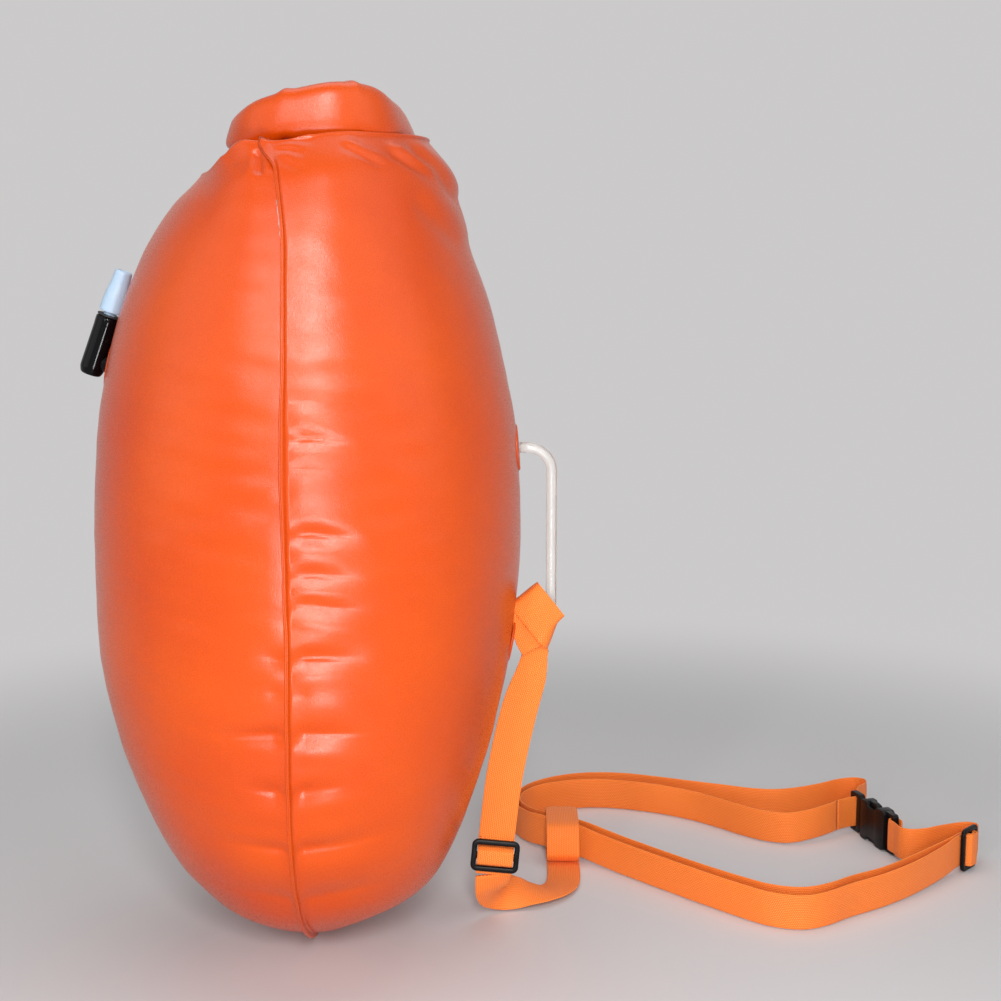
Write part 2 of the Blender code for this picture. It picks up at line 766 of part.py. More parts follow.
def build_roll():
    """The rolled mouth: a flattened roll bent into a ring, with the stiffening strip inside it."""
    path, out, up, _ = ring_stations(RING_OPEN_HALF_ANGLE, ROLL_STEPS)
    outline = rounded_rectangle(ROLL_THICKNESS / 2, ROLL_HEIGHT / 2, ROLL_CORNER, ROLL_CORNER_STEPS)
    slot = rounded_rectangle(
        STIFFENER_THICKNESS / 2 + GAP, STIFFENER_HEIGHT / 2 + GAP, STIFFENER_THICKNESS / 2,
        ROLL_CORNER_STEPS,
    )
    sweep("roll_top", path, out, up, outline, ORANGE_FILM, hollow=slot)
    strip = rectangle(STIFFENER_THICKNESS / 2, STIFFENER_HEIGHT / 2)
    sweep("mouth_stiffener", path[1:-1], out[1:-1], up[1:-1], strip, CLEAR_FILM)


def valve_frame():
    """Origin where the leg meets the panel's outer face, X outward and Z up the riser."""
    share = surface_share(VALVE_HEIGHT)
    place = panel_point(-1, share, 0.0)
    normal = panel_normal(-1, share, 0.0)
    return frame_of(Vector(place) + Vector(normal) * FILM, normal, (0, 0, 1))


def build_valve():
    """Elbow, seat, spring and poppet of the oral valve, and the mouthpiece that is pushed to open it."""
    frame = valve_frame()
    place = pivot("valve_place", frame)
    corner = Matrix.Translation((ELBOW_STANDOFF, 0, 0))
    r = RISER_DIAMETER / 2
    bore = RISER_BORE / 2
    top = RISER_HEIGHT
    sleeve = top + SEAL_THICKNESS + GAP + MOUTHPIECE_TRAVEL + GAP
    skirt_end = sleeve - MOUTHPIECE_SKIRT - MOUTHPIECE_TRAVEL
    spider_low = skirt_end - GAP - SPIDER_THICKNESS
    seat_top = spider_low - GAP - SPRING_HEIGHT
    seat_low = seat_top - SEAT_THICKNESS
    edge = RISER_DIAMETER / 8
    elbow = turned(
        "valve_elbow",
        [(0, -ELBOW_FOOT), (r - 2 * edge, -ELBOW_FOOT), (r - edge / 2, edge - ELBOW_FOOT),
         (r, 2 * edge - ELBOW_FOOT), (r, top), (bore, top), (bore, seat_top), (SEAT_BORE / 2, seat_top),
         (SEAT_BORE / 2, seat_low), (bore, seat_low), (bore, 0), (0, 0)],
        corner, BLACK_PLASTIC, place,
    )
    leg = cylinder("leg", (ELBOW_STANDOFF - bore, 0, 0), (-FILM - LEG_INSIDE, 0, 0), LEG_DIAMETER / 2,
                   BLACK_PLASTIC, place)
    way = cylinder("leg_way", (ELBOW_STANDOFF, 0, 0), (-FILM - 2 * LEG_INSIDE, 0, 0), LEG_BORE / 2,
                   BLACK_PLASTIC, place)
    join_into(elbow, leg)
    cut(elbow, way)
    hole = cylinder("film_hole", (ELBOW_STANDOFF, 0, 0), (-ELBOW_STANDOFF, 0, 0), LEG_DIAMETER / 2 + GAP,
                    ORANGE_FILM, place)
    cut(bpy.data.objects["front_panel"], hole)
    seal_low = top + GAP
    seal_high = seal_low + SEAL_THICKNESS
    turned("valve_seal", [(SEAL_BORE / 2, seal_low), (r - GAP, seal_low), (r - GAP, seal_high),
                          (SEAL_BORE / 2, seal_high)], corner, SEAL_RUBBER, place)
    tip = sleeve + MOUTHPIECE_LENGTH
    base_r = MOUTHPIECE_BASE_DIAMETER / 2
    waist_r = MOUTHPIECE_WAIST_DIAMETER / 2
    tip_r = MOUTHPIECE_TIP_DIAMETER / 2
    skirt_r = MOUTHPIECE_SKIRT_DIAMETER / 2
    way_r = MOUTHPIECE_BORE / 2
    turned(
        "mouthpiece",
        [(way_r, skirt_end), (skirt_r, skirt_end), (skirt_r, sleeve), (base_r - GAP, sleeve),
         (base_r, sleeve + MOUTHPIECE_LENGTH / 14), (base_r, sleeve + MOUTHPIECE_LENGTH / 5),
         (waist_r, sleeve + MOUTHPIECE_LENGTH * 0.45), (waist_r, sleeve + MOUTHPIECE_LENGTH * 0.7),
         (tip_r, tip - MOUTHPIECE_LENGTH / 9), (tip_r * 0.9, tip), (way_r, tip)],
        corner, BLUE_PLASTIC, place,
    )
    stem = STEM_DIAMETER / 2
    poppet_top = seat_low - GAP
    spider_top = spider_low + SPIDER_THICKNESS
    poppet = turned(
        "valve_poppet",
        [(0, poppet_top - POPPET_THICKNESS), (POPPET_DIAMETER / 2, poppet_top - POPPET_THICKNESS),
         (POPPET_DIAMETER / 2, poppet_top), (stem, poppet_top), (stem, spider_top), (0, spider_top)],
        corner, BLACK_PLASTIC, place, sides=16,
    )
    arm = block("spider_arm", (ELBOW_STANDOFF - skirt_r, -stem, spider_low),
                (ELBOW_STANDOFF + skirt_r, stem, spider_top), BLACK_PLASTIC, place)
    join_into(poppet, arm)
    build_spring(place, seat_top, spider_low)
    welded_disc("valve_flange", -1, VALVE_HEIGHT, VALVE_FLANGE_RADIUS, VALVE_FLANGE_THICKNESS,
                LEG_DIAMETER / 2 + 2 * GAP, ORANGE_FILM)


def build_spring(place, low, high):
    """A wire helix between the seat and the spider, its least gap to itself measured and printed."""
    per_turn = 10
    total = SPRING_TURNS * per_turn
    radius = (SPRING_DIAMETER - SPRING_WIRE) / 2
    start = low + SPRING_WIRE / 2 + GAP
    rise = (high - GAP - SPRING_WIRE / 2) - start
    path = []
    for n in range(total + 1):
        angle = 2 * math.pi * n / per_turn
        x, y = radius * math.cos(angle), radius * math.sin(angle)
        path.append(Vector((ELBOW_STANDOFF + x, y, start + rise * n / total)))
    along = [(path[min(n + 1, total)] - path[max(n - 1, 0)]).normalized() for n in range(total + 1)]
    side = [a.cross(Vector((0, 0, 1))).normalized() for a in along]
    up = [s.cross(a) for s, a in zip(side, along)]
    turn = [2 * math.pi * n / 6 for n in range(6)]
    outline = [(SPRING_WIRE / 2 * math.cos(a), SPRING_WIRE / 2 * math.sin(a)) for a in turn]
    sweep("valve_spring", path, side, up, outline, STEEL, place)
    least = min((path[n + per_turn] - path[n]).length for n in range(total + 1 - per_turn)) - SPRING_WIRE
    print("valve_spring: least gap to itself", round(least * 1000, 2), "mm")


def rod_line():
    """The handle rod's middle line, from the upper patch to the lower one."""
    seat = PATCH_THICKNESS + 2 * GAP
    high = skin_point(1, HANDLE_TOP, 0.0, seat)
    low = skin_point(1, HANDLE_BOTTOM, 0.0, seat + LOWER_END_RISE)
    outer = skin_point(1, (HANDLE_TOP + HANDLE_BOTTOM) / 2, 0.0, 0)[0] + HANDLE_STANDOFF
    bend = HANDLE_BEND
    points = [Vector(high)]
    for n in range(7):
        angle = math.radians(90 - 90 * n / 6)
        z = HANDLE_TOP - bend + bend * math.sin(angle)
        points.append(Vector((outer - bend + bend * math.cos(angle), 0, z)))
    for n in range(7):
        angle = math.radians(-90 * n / 6)
        z = HANDLE_BOTTOM + bend + bend * math.sin(angle)
        points.append(Vector((outer - bend + bend * math.cos(angle), 0, z)))
    points.append(Vector(low))
    return points


def build_handle():
    """The bent rod and the two welded discs that hold its ends."""
    for name, height in (("handle_patch_upper", HANDLE_TOP), ("handle_patch_lower", HANDLE_BOTTOM)):
        welded_disc(name, 1, height, PATCH_RADIUS, PATCH_THICKNESS, 0, ORANGE_FILM, sides=20)
    path = rod_line()
    last = len(path) - 1
    along = [(path[min(n + 1, last)] - path[max(n - 1, 0)]).normalized() for n in range(last + 1)]
    along[0] = Vector((1, 0, 0))
    along[-1] = Vector((-1, 0, 0))
    side = [Vector((0, 1, 0))] * len(path)
    up = [s.cross(a) for s, a in zip(side, along)]
    turn = [2 * math.pi * n / 12 for n in range(12)]
    outline = [(ROD_DIAMETER / 2 * math.cos(a), ROD_DIAMETER / 2 * math.sin(a)) for a in turn]
    sweep("handle", path, side, up, outline, CLEAR_ROD)
    return path


def buckle_sizes(webbing):
    sizes = {name: share * webbing for name, share in BUCKLE_SHARES.items()}
    sizes["cavity_half"] = sizes["half_height"] - sizes["side_wall"]
    return sizes


def build_male(name, webbing, place):
    """Bar, slot and centre guide of the male half; X runs from the bar into the housing."""
    b = buckle_sizes(webbing)
    half = b["half_height"]
    thick = b["frame_thickness"] / 2
    neck = b["prong_half"] + b["prong_width"]
    soft = b["rim"] / 2
    end = b["frame_end"]
    outline = [(0, half - soft), (soft, half), (end - b["rim"], half), (end, neck)]
    outline += [(x, -y) for x, y in reversed(outline)]
    frame = plate(name, outline, -thick, thick, BLACK_PLASTIC, place)
    inner = webbing / 2 + 2 * GAP
    slot = block(name + "_slot", (b["bar"], -inner, -half), (b["bar"] + b["slot"], inner, half),
                 BLACK_PLASTIC, place)
    guide_half = b["guide_half"]
    tip = b["guide_end"]
    guide = plate(name + "_guide",
                  [(end - b["rim"], -guide_half * 1.6), (tip - guide_half, -guide_half), (tip, 0),
                   (tip - guide_half, guide_half), (end - b["rim"], guide_half * 1.6)],
                  -b["guide_thickness"] / 2, b["guide_thickness"] / 2, BLACK_PLASTIC, place)
    cut(frame, slot)
    join_into(frame, guide)
    return frame


def build_prong(name, webbing, place, up):
    """One spring arm with its barb; up is 1 for the upper arm and -1 for the lower one."""
    b = buckle_sizes(webbing)
    root = b["prong_start"]
    inner = b["prong_half"]
    outer = inner + b["prong_width"]
    barb = b["barb_start"]
    shoulder = b["cavity_half"] - 2 * GAP
    end = b["prong_end"]
    mid = (root + barb) / 2
    width = b["prong_width"]
    outline = [(root, inner), (mid, inner + width * 0.3), (barb, b["barb_inner"] - width / 4),
               (end - width, b["barb_inner"]), (end, b["barb_inner"] + width / 2),
               (end - width / 2, b["barb_outer"] - width / 3), (end - width * 2, b["barb_outer"]),
               (barb, b["barb_outer"]), (barb, shoulder), (mid, (outer + shoulder) / 2), (root, outer)]
    outline = [(x, y * up) for x, y in outline]
    hinge = pivot(name + "_hinge", Matrix.Translation((root, (inner + outer) / 2 * up, 0)), place)
    outline = [(x - root, y - (inner + outer) / 2 * up) for x, y in outline]
    thick = b["prong_thickness"] / 2
    return plate(name, outline, -thick, thick, BLACK_PLASTIC, hinge)


def build_female(name, webbing, place):
    """The housing: a mouth, open sides for the barbs, and a bar for the webbing."""
    b = buckle_sizes(webbing)
    half = b["half_height"]
    wall = b["housing_thickness"] / 2
    waist = b["waist_half"]
    mouth = b["mouth"]
    soft = b["rim"]
    outline = [(mouth, half - soft / 2), (mouth + soft / 2, half), (b["collar_end"], half),
               (b["collar_end"] + soft, waist), (b["rear_wall"] - soft, waist), (b["rear_wall"], half),
               (b["housing_end"] - soft, half), (b["housing_end"], half - soft / 2)]
    outline += [(x, -y) for x, y in reversed(outline)]
    housing = plate(name, outline, -wall, wall, BLACK_PLASTIC, place)
    cavity = block(name + "_cavity", (mouth - soft, -b["cavity_half"], -b["cavity_thickness"] / 2),
                   (b["cavity_end"], b["cavity_half"], b["cavity_thickness"] / 2), BLACK_PLASTIC, place)
    sides = block(name + "_sides", (b["collar_end"], -half - soft, -b["cavity_thickness"] / 2),
                  (b["rear_wall"], half + soft, b["cavity_thickness"] / 2), BLACK_PLASTIC, place)
    inner = webbing / 2 + 2 * GAP
    thick = b["frame_thickness"] / 2
    end = b["housing_bar"] + b["bar"]
    tail = plate(name + "_tail",
                 [(b["housing_end"] - soft, half), (end - soft / 2, half), (end, half - soft / 2),
                  (end, -half + soft / 2), (end - soft / 2, -half), (b["housing_end"] - soft, -half)],
                 -thick, thick, BLACK_PLASTIC, place)
    slot = block(name + "_slot", (b["housing_end"] + GAP, -inner, -half), (b["housing_bar"], inner, half),
                 BLACK_PLASTIC, place)
    cut(housing, cavity)
    cut(housing, sides)
    join_into(housing, tail)
    cut(housing, slot)
    return housing


def build_slider(name, place):
    """An adjuster: an outer frame and a centre bar; X runs along the webbing, Y across it."""
    half = WEBBING_WIDTH / 2 + SLIDER_RIM
    length = SLIDER_LENGTH / 2
    thick = SLIDER_THICKNESS / 2
    outline = rounded_rectangle(length, half, SLIDER_RIM, 4)
    frame = plate(name, outline, -thick, thick, BLACK_PLASTIC, place)
    inner = WEBBING_WIDTH / 2 + 2 * GAP
    bar = SLIDER_BAR / 2
    for n, side in enumerate((-1, 1)):
        near, far = sorted((side * bar, side * (bar + SLIDER_SLOT)))
        slot = name + "_slot_" + str(n)
        cut(frame, block(slot, (near, -inner, -half), (far, inner, half), BLACK_PLASTIC, place))
    return frame


def threaded_run(frame, lead_in, lead_out):
    """The main strand through an adjuster: behind its ends, up through both slots, over the bar."""
    behind = -(SLIDER_THICKNESS / 2 + GAP + WEBBING_THICKNESS * MAIN_BEHIND_SHARE)
    over = SLIDER_THICKNESS / 2 + 2 * GAP + WEBBING_THICKNESS * MAIN_OVER_SHARE
    rise = SLIDER_BAR / 2 + SLIDER_SLOT * 0.7
    crest = SLIDER_BAR / 2 + WEBBING_THICKNESS
    edge = SLIDER_BAR / 2 + SLIDER_SLOT
    half = [(crest, over), (crest + WEBBING_THICKNESS * 1.1, over * 0.75), (rise, over / 4),
            (rise, behind / 3), (rise + GAP * 2, behind * 0.8), (edge, behind), (SLIDER_LENGTH / 2, behind)]
    first = [(-x, z) for x, z in reversed(half)]
    end = SLIDER_LENGTH / 2
    run = [(-end - lead_in, behind)] + first + half + [(end + lead_out, behind)]
    return [frame @ Vector((x, 0, z)) for x, z in run]


def sewn_run(frame, lead_in):
    """The sewn end: it comes in behind the main strand and closes round the bar."""
    bar = SLIDER_BAR / 2 + GAP + WEBBING_THICKNESS / 2
    top = SLIDER_THICKNESS / 2 + GAP + WEBBING_THICKNESS / 2
    behind = -(SLIDER_THICKNESS / 2 + 2 * GAP + WEBBING_THICKNESS * SEWN_BEHIND_SHARE)
    ends = SLIDER_LENGTH / 2
    run = [(-ends - lead_in, behind), (-ends, behind), (-bar * 2, behind), (-bar * 1.2, behind * 0.65),
           (-bar, 0.0), (-bar, top / 2), (-bar * 0.93, top * 0.9), (-bar * 0.5, top * 1.05),
           (bar * 0.5, top * 1.05), (bar * 0.93, top * 0.9), (bar, top / 2), (bar, -top / 2),
           (bar * 0.9, -top), (bar * 0.4, -top * 1.12), (-bar * 0.2, -top * 1.12)]
    return [frame @ Vector((x, 0, z)) for x, z in run]


def bar_wrap(frame, at, toward, lead):
    """A sewn loop round a buckle's bar; at is the bar's middle, toward the side that the slot is on."""
    reach = WEBBING_THICKNESS * WRAP_REACH_SHARE
    off = WEBBING_THICKNESS * WRAP_OFF_SHARE
    run = [(at - toward * lead, off), (at, off), (at + toward * reach * 0.75, off * 0.88),
           (at + toward * reach, 0.0), (at + toward * reach * 0.75, -off * 0.88), (at, -off),
           (at - toward * lead * 0.6, -off)]
    return [frame @ Vector((x, 0, z)) for x, z in run]


def build_roll_closure():
    """The buckle that holds the rolled mouth in a ring, and the two tabs it is sewn to."""
    b = buckle_sizes(TAB_WIDTH)
    end = b["housing_bar"] + b["bar"]
    path, _, _, along = ring_stations(RING_OPEN_HALF_ANGLE, ROLL_STEPS)
    frame = frame_of((ROLL_BUCKLE_X, -end / 2, path[0][2]), (0, 1, 0), (1, 0, 0))
    fixed = pivot("roll_buckle_place", frame)
    slide = pivot("roll_buckle_slide", frame)
    build_female("roll_buckle_female", TAB_WIDTH, fixed)
    build_male("roll_buckle_male", TAB_WIDTH, slide)
    build_prong("roll_buckle_prong_upper", TAB_WIDTH, slide, 1)
    build_prong("roll_buckle_prong_lower", TAB_WIDTH, slide, -1)
    for name, at, bar, toward, tangent in (
        ("roll_tab_near", path[0], b["bar"] / 2, 1, -along[0]),
        ("roll_tab_far", path[-1], b["housing_bar"] + b["bar"] / 2, -1, along[-1]),
    ):
        tail = Vector((tangent[0], tangent[1], 0))
        sewn = [Vector(at) + tail * WEBBING_THICKNESS * 0.5, Vector(at) + tail * TAB_WIDTH / 3]
        run = bar_wrap(frame, bar, toward, TAB_WIDTH / 3)
        strap(name, sewn + run, (0, 0, 1), width=TAB_WIDTH - 2 * GAP, thickness=TAB_THICKNESS)


def build_tether():
    """The knot on the handle, the doubled strap, its adjuster and the single strap to the keeper."""
    turns = np.linspace(KNOT_OPEN_HALF_ANGLE - 180, 180 - KNOT_OPEN_HALF_ANGLE, 13)
    knot = [Vector(KNOT_CENTRE) + Vector((KNOT_HALF_X * math.cos(a), KNOT_HALF_Y * math.sin(a), 0))
            for a in np.radians(turns)]
    out = [Vector((math.cos(a) * KNOT_HALF_Y, math.sin(a) * KNOT_HALF_X, 0)).normalized()
           for a in np.radians(turns)]
    outline = rounded_rectangle(KNOT_THICKNESS / 2, KNOT_HEIGHT / 2, KNOT_THICKNESS / 3)
    sweep("tether_knot", knot, out, [(0, 0, 1)] * len(knot), outline, ORANGE_WEBBING)
    along = Vector(TETHER_ROUTE[-1]) - Vector(TETHER_SLIDER_CENTRE)
    frame = frame_of(TETHER_SLIDER_CENTRE, -along, (0, -1, 0))
    slider = pivot("tether_slider_place", frame)
    build_slider("tether_slider", slider)
    step = Vector((0, TETHER_LAYER_STEP / 2, 0))
    across = (1, 0, -0.1)
    lead = SLIDER_LENGTH / 6
    outer = [Vector(p) - step for p in TETHER_ROUTE[:-1]] + threaded_run(frame, lead, SLIDER_LENGTH / 8)
    inner = [Vector(p) + step for p in TETHER_ROUTE[:-1]] + sewn_run(frame, lead)
    strap("tether_strap_outer", outer, across)
    strap("tether_strap_inner", inner, across)
    strap("tether_loop", LOOP_ROUTE, LOOP_WIDTH_DIRECTIONS)
    keeper = [(KEEPER_CENTRE_X, y, z) for y, z in KEEPER_ROUTE]
    strap("keeper_loop", keeper, (1, 0, 0))


def belt_points(route):
    middle = GAP + WEBBING_WIDTH / 2
    return [Vector((x, y, middle + lift * KEEPER_LIFT)) for x, y, lift in route]


def build_belt():
    """The doubled waist belt, its adjuster, and the side release buckle that joins its ends."""
    b = buckle_sizes(WEBBING_WIDTH)
    up = (0, 0, 1)
    x, y = BELT_SLIDER_AXIS
    place = frame_of((*BELT_SLIDER_CENTRE, GAP + WEBBING_WIDTH / 2 + SLIDER_RIM), (x, y, 0), (y, -x, 0))
    slider = pivot("belt_slider_place", place)
    build_slider("belt_slider", slider)
    main = threaded_run(place, SLIDER_LENGTH / 4, SLIDER_LENGTH / 8)
    sewn = sewn_run(place, SLIDER_LENGTH / 4)
    x, y = WAIST_BUCKLE_AXIS
    frame = frame_of((*WAIST_BUCKLE_END, GAP + b["half_height"]), (x, y, 0), (y, -x, 0))
    fixed = pivot("waist_buckle_place", frame)
    slide = pivot("waist_buckle_slide", frame)
    build_female("waist_buckle_female", WEBBING_WIDTH, fixed)
    build_male("waist_buckle_male", WEBBING_WIDTH, slide)
    build_prong("waist_prong_upper", WEBBING_WIDTH, slide, 1)
    build_prong("waist_prong_lower", WEBBING_WIDTH, slide, -1)
    wrap = [frame @ Vector((u, 0, v)) for u, v in MALE_WRAP]
    strap("belt_male_wrap", wrap, up)
    strap("belt_outer", list(reversed(belt_points(BELT_OUTER_ROUTE))) + main, up)
    strap("belt_inner", list(reversed(belt_points(BELT_INNER_ROUTE))) + sewn, up)
    tab = belt_points([(*p, BUCKLE_LIFT) for p in FEMALE_TAB_ROUTE])
    tail = bar_wrap(frame, b["housing_bar"] + b["bar"] / 2, -1, WEBBING_WIDTH / 4)
    strap("belt_female_tab", tab + tail, up)


build_panels()
build_divider()
build_roll()
build_roll_closure()
build_valve()
build_handle()
build_tether()
build_belt()
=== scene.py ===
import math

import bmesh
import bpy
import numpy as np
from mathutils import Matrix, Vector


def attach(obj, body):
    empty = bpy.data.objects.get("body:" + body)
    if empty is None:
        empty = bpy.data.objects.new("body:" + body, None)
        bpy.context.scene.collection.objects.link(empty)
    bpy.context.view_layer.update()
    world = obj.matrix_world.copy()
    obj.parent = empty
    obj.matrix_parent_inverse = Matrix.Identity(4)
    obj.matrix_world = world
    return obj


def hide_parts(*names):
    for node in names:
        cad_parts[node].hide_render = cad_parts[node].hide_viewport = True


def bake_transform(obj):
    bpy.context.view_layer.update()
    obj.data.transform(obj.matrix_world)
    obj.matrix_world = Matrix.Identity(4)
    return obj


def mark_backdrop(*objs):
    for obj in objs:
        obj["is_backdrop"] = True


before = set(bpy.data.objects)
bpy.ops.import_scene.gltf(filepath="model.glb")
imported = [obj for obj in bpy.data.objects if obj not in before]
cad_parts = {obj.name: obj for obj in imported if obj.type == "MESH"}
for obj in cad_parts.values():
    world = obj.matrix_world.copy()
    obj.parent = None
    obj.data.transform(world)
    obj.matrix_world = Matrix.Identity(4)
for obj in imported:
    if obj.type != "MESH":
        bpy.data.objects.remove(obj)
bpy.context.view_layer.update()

# %% [markdown]
# # A swim buoy dry bag
# A pillow of PVC film is blown up through a valve, its mouth is rolled shut and clipped
# into a ring, and a strap ties it to a waist belt. The rigid plastic could be kept from
# the CAD, but nearly all that shows is film and webbing, so those pieces are worked out
# here again as finer surfaces that lie where the CAD solids lie.

# %% [markdown]
# ## Where things are measured from
# The CAD's origin is the middle of the mouth ring's top, because a hand holds the bag
# there. Heights are easier to think of over the floor, so every point below is written
# over the floor and moved by one step when it is put into a mesh.

# %% The floor under the bag
FLOOR = np.array([-0.009, 0.0, -0.5735])


def framed(points):
    """Points over the floor, moved into the CAD's own frame."""
    return np.asarray(points, float) + FLOOR


def add_object(name, data):
    """A new object in the scene for a mesh, lamp or camera."""
    made = bpy.data.objects.new(name, data)
    bpy.context.collection.objects.link(made)
    return made


# %% [markdown]
# ## The camera
# The photo was taken from straight in front of a side seam, a little above the middle of
# the bag, looking down by some nine degrees. The 25 mm belt gives the scale, and the
# slant of the bag's tip and of the belt on the floor give the height. A long lens could
# be used with a shift, but a plain pitch does the same and behaves in other views.

# %% Camera
EYE = np.array([0.1277, -1.15, 0.48])
PITCH = math.radians(8.6785)
FOCAL_PX = 1725.0
IMAGE_PX = 1001

camera_data = bpy.data.cameras.new("camera")
camera_data.sensor_width = 36.0
camera_data.lens = FOCAL_PX / IMAGE_PX * 36.0
camera_data.clip_start = 0.01
camera = add_object("camera", camera_data)
camera.location = framed(EYE)
camera.rotation_euler = (math.radians(90) - PITCH, 0, 0)
bpy.context.scene.camera = camera


def seen_at(pixels, y):
    """(x, z) over the floor of photo pixels (u, v) on the upright plane at depth y.

    The ray's slope down is the camera's pitch plus the pixel's own angle, and the
    sideways step grows with the distance along the ray.
    """
    pixels = np.asarray(pixels, float)
    right = (pixels[..., 0] - IMAGE_PX / 2) / FOCAL_PX
    down = (pixels[..., 1] - IMAGE_PX / 2) / FOCAL_PX
    forward = math.cos(PITCH) - down * math.sin(PITCH)
    drop = math.sin(PITCH) + down * math.cos(PITCH)
    t = (y - EYE[1]) / forward
    return np.stack([EYE[0] + right * t, EYE[2] - drop * t], -1)


print("lens", round(camera_data.lens, 2), "mm, seam foot seen at", seen_at((309, 928), -0.02))

# %% [markdown]
# ## Curves and frames
# A strap, a rod and a rolled edge are all one outline carried along a line. A curve
# object with a bevel could do it, but a strap has to turn about its own line, so the
# line gets a direction for its width at every point, and whole arrays do the rest.

# %% Lines
def smooth_line(points, steps):
    """A Catmull-Rom line: each stretch is the cubic through two points, with slopes from
    their neighbours; the first and last points are reached exactly."""
    points = np.asarray(points, float)
    ends = np.concatenate([[2 * points[0] - points[1]], points, [2 * points[-1] - points[-2]]])
    p0, p1, p2, p3 = (ends[k : len(ends) - 3 + k, None] for k in range(4))
    t = (np.arange(steps) / steps)[None, :, None]
    line = 0.5 * (2 * p1 + (p2 - p0) * t + (2 * p0 - 5 * p1 + 4 * p2 - p3) * t**2
                  + (3 * p1 - p0 - 3 * p2 + p3) * t**3)
    return np.concatenate([line.reshape(-1, points.shape[1]), points[-1:]])


def run_of(points):
    """How far along the line each point lies: the sum of the steps before it."""
    return np.concatenate([[0], np.cumsum(np.linalg.norm(np.diff(points, axis=0), axis=1))])


def evenly(points, count):
    """The same line with count points at equal steps of its length."""
    points = np.asarray(points, float)
    run = run_of(points)
    at = np.linspace(0, run[-1], count)
    return np.stack([np.interp(at, run, points[:, k]) for k in range(points.shape[1])], 1)


def bell(x, width=1.0):
    """1 in the middle and nearly nothing beyond two widths: exp(-(x / width)^2)."""
    return np.exp(-((x / width) ** 2))


def smoothstep(x, low, high):
    """0 up to low, 1 from high on, and 3 t^2 - 2 t^3 between them."""
    t = np.clip((x - low) / (high - low), 0, 1)
    return t * t * (3 - 2 * t)


def unit(v):
    """Vectors divided by their lengths."""
    return v / np.maximum(np.linalg.norm(v, axis=-1, keepdims=True), 1e-12)


def line_length(points):
    """The sum of a line's steps."""
    return float(np.linalg.norm(np.diff(points, axis=0), axis=1).sum())


def line_frames(path, widths):
    """At each point, the direction of the width, made square to the line, and the one off
    the face."""
    along = unit(np.gradient(path, axis=0))
    across = unit(widths - along * np.sum(widths * along, axis=1, keepdims=True))
    return across, np.cross(along, across)


# %% [markdown]
# ## From arrays to meshes
# A grid of points becomes quads between neighbours. Going through foreach_set keeps the
# work in arrays, and each piece gets a UV map in metres, so that a weave or a grain has
# its real size whatever the piece's length.

# %% Mesh helpers
def grid_quads(rows, columns, wrap=False, start=0):
    """The quads of a grid of points; wrap joins the last column to the first."""
    r = np.arange(rows - 1)[:, None]
    c = np.arange(columns if wrap else columns - 1)[None, :]
    n = (c + 1) % columns
    quads = np.stack([r * columns + c, r * columns + n, (r + 1) * columns + n, (r + 1) * columns + c], -1)
    return quads.reshape(-1, 4) + start


def stand_for(*rows):
    """Each row: a piece, the CAD node it stands for and, if it has one of its own, its slot. The
    CAD node is hidden; the piece and the slot are not used.
    """
    for piece, cad_node, *slot in rows:
        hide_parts(cad_node)


def make_piece(name, points, quads, material, body, uv=None, caps=()):
    """A mesh object from points over the floor, quads, and the rings that close its ends. It
    rides on the body; one without a body has no parent."""
    points = framed(points).reshape(-1, 3)
    mesh = bpy.data.meshes.new(name)
    faces = [tuple(q) for q in np.asarray(quads).tolist()] + [tuple(int(i) for i in c) for c in caps]
    mesh.from_pydata(points.tolist(), [], faces)
    if uv is not None:
        layer = mesh.uv_layers.new(name="metres")
        corner = np.zeros(len(mesh.loops), np.int32)
        mesh.loops.foreach_get("vertex_index", corner)
        layer.data.foreach_set("uv", np.asarray(uv, np.float32).reshape(-1, 2)[corner].ravel())
    mesh.validate()
    work = bmesh.new()
    work.from_mesh(mesh)
    bmesh.ops.recalc_face_normals(work, faces=work.faces)
    work.to_mesh(mesh)
    work.free()
    mesh.shade_smooth()
    mesh.materials.append(material)
    piece = add_object(name, mesh)
    if body:
        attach(piece, body)
    print(f"{name}: {len(points)} points on {body}")
    return piece


def carried(name, path, across, off, outline, material, body, uv=True):
    """An outline (stations or one, points, 2) carried along a path and closed at both ends."""
    outline = np.broadcast_to(outline, (len(path),) + np.shape(outline)[-2:])
    grid = (path[:, None] + across[:, None] * outline[..., :1] + off[:, None] * outline[..., 1:])
    rows, columns = grid.shape[:2]
    run = run_of(path)
    flat = np.stack(np.broadcast_arrays(outline[..., 0], run[:, None]), -1) if uv else None
    caps = [range(columns)[::-1], range((rows - 1) * columns, rows * columns)]
    return make_piece(name, grid, grid_quads(rows, columns, wrap=True), material, body, flat, caps)


def turned(name, profile, origin, axes, material, body, sides=64):
    """A closed profile of (radius, height) turned about the third of the axes."""
    angle = np.arange(sides) / sides * 2 * math.pi
    profile = np.asarray(profile, float)
    ring = np.cos(angle)[:, None] * axes[0] + np.sin(angle)[:, None] * axes[1]
    grid = origin + ring[:, None] * profile[None, :, :1] + axes[2] * profile[None, :, 1:]
    quads = grid_quads(sides + 1, len(profile), wrap=True) % (sides * len(profile))
    return make_piece(name, grid, quads, material, body)


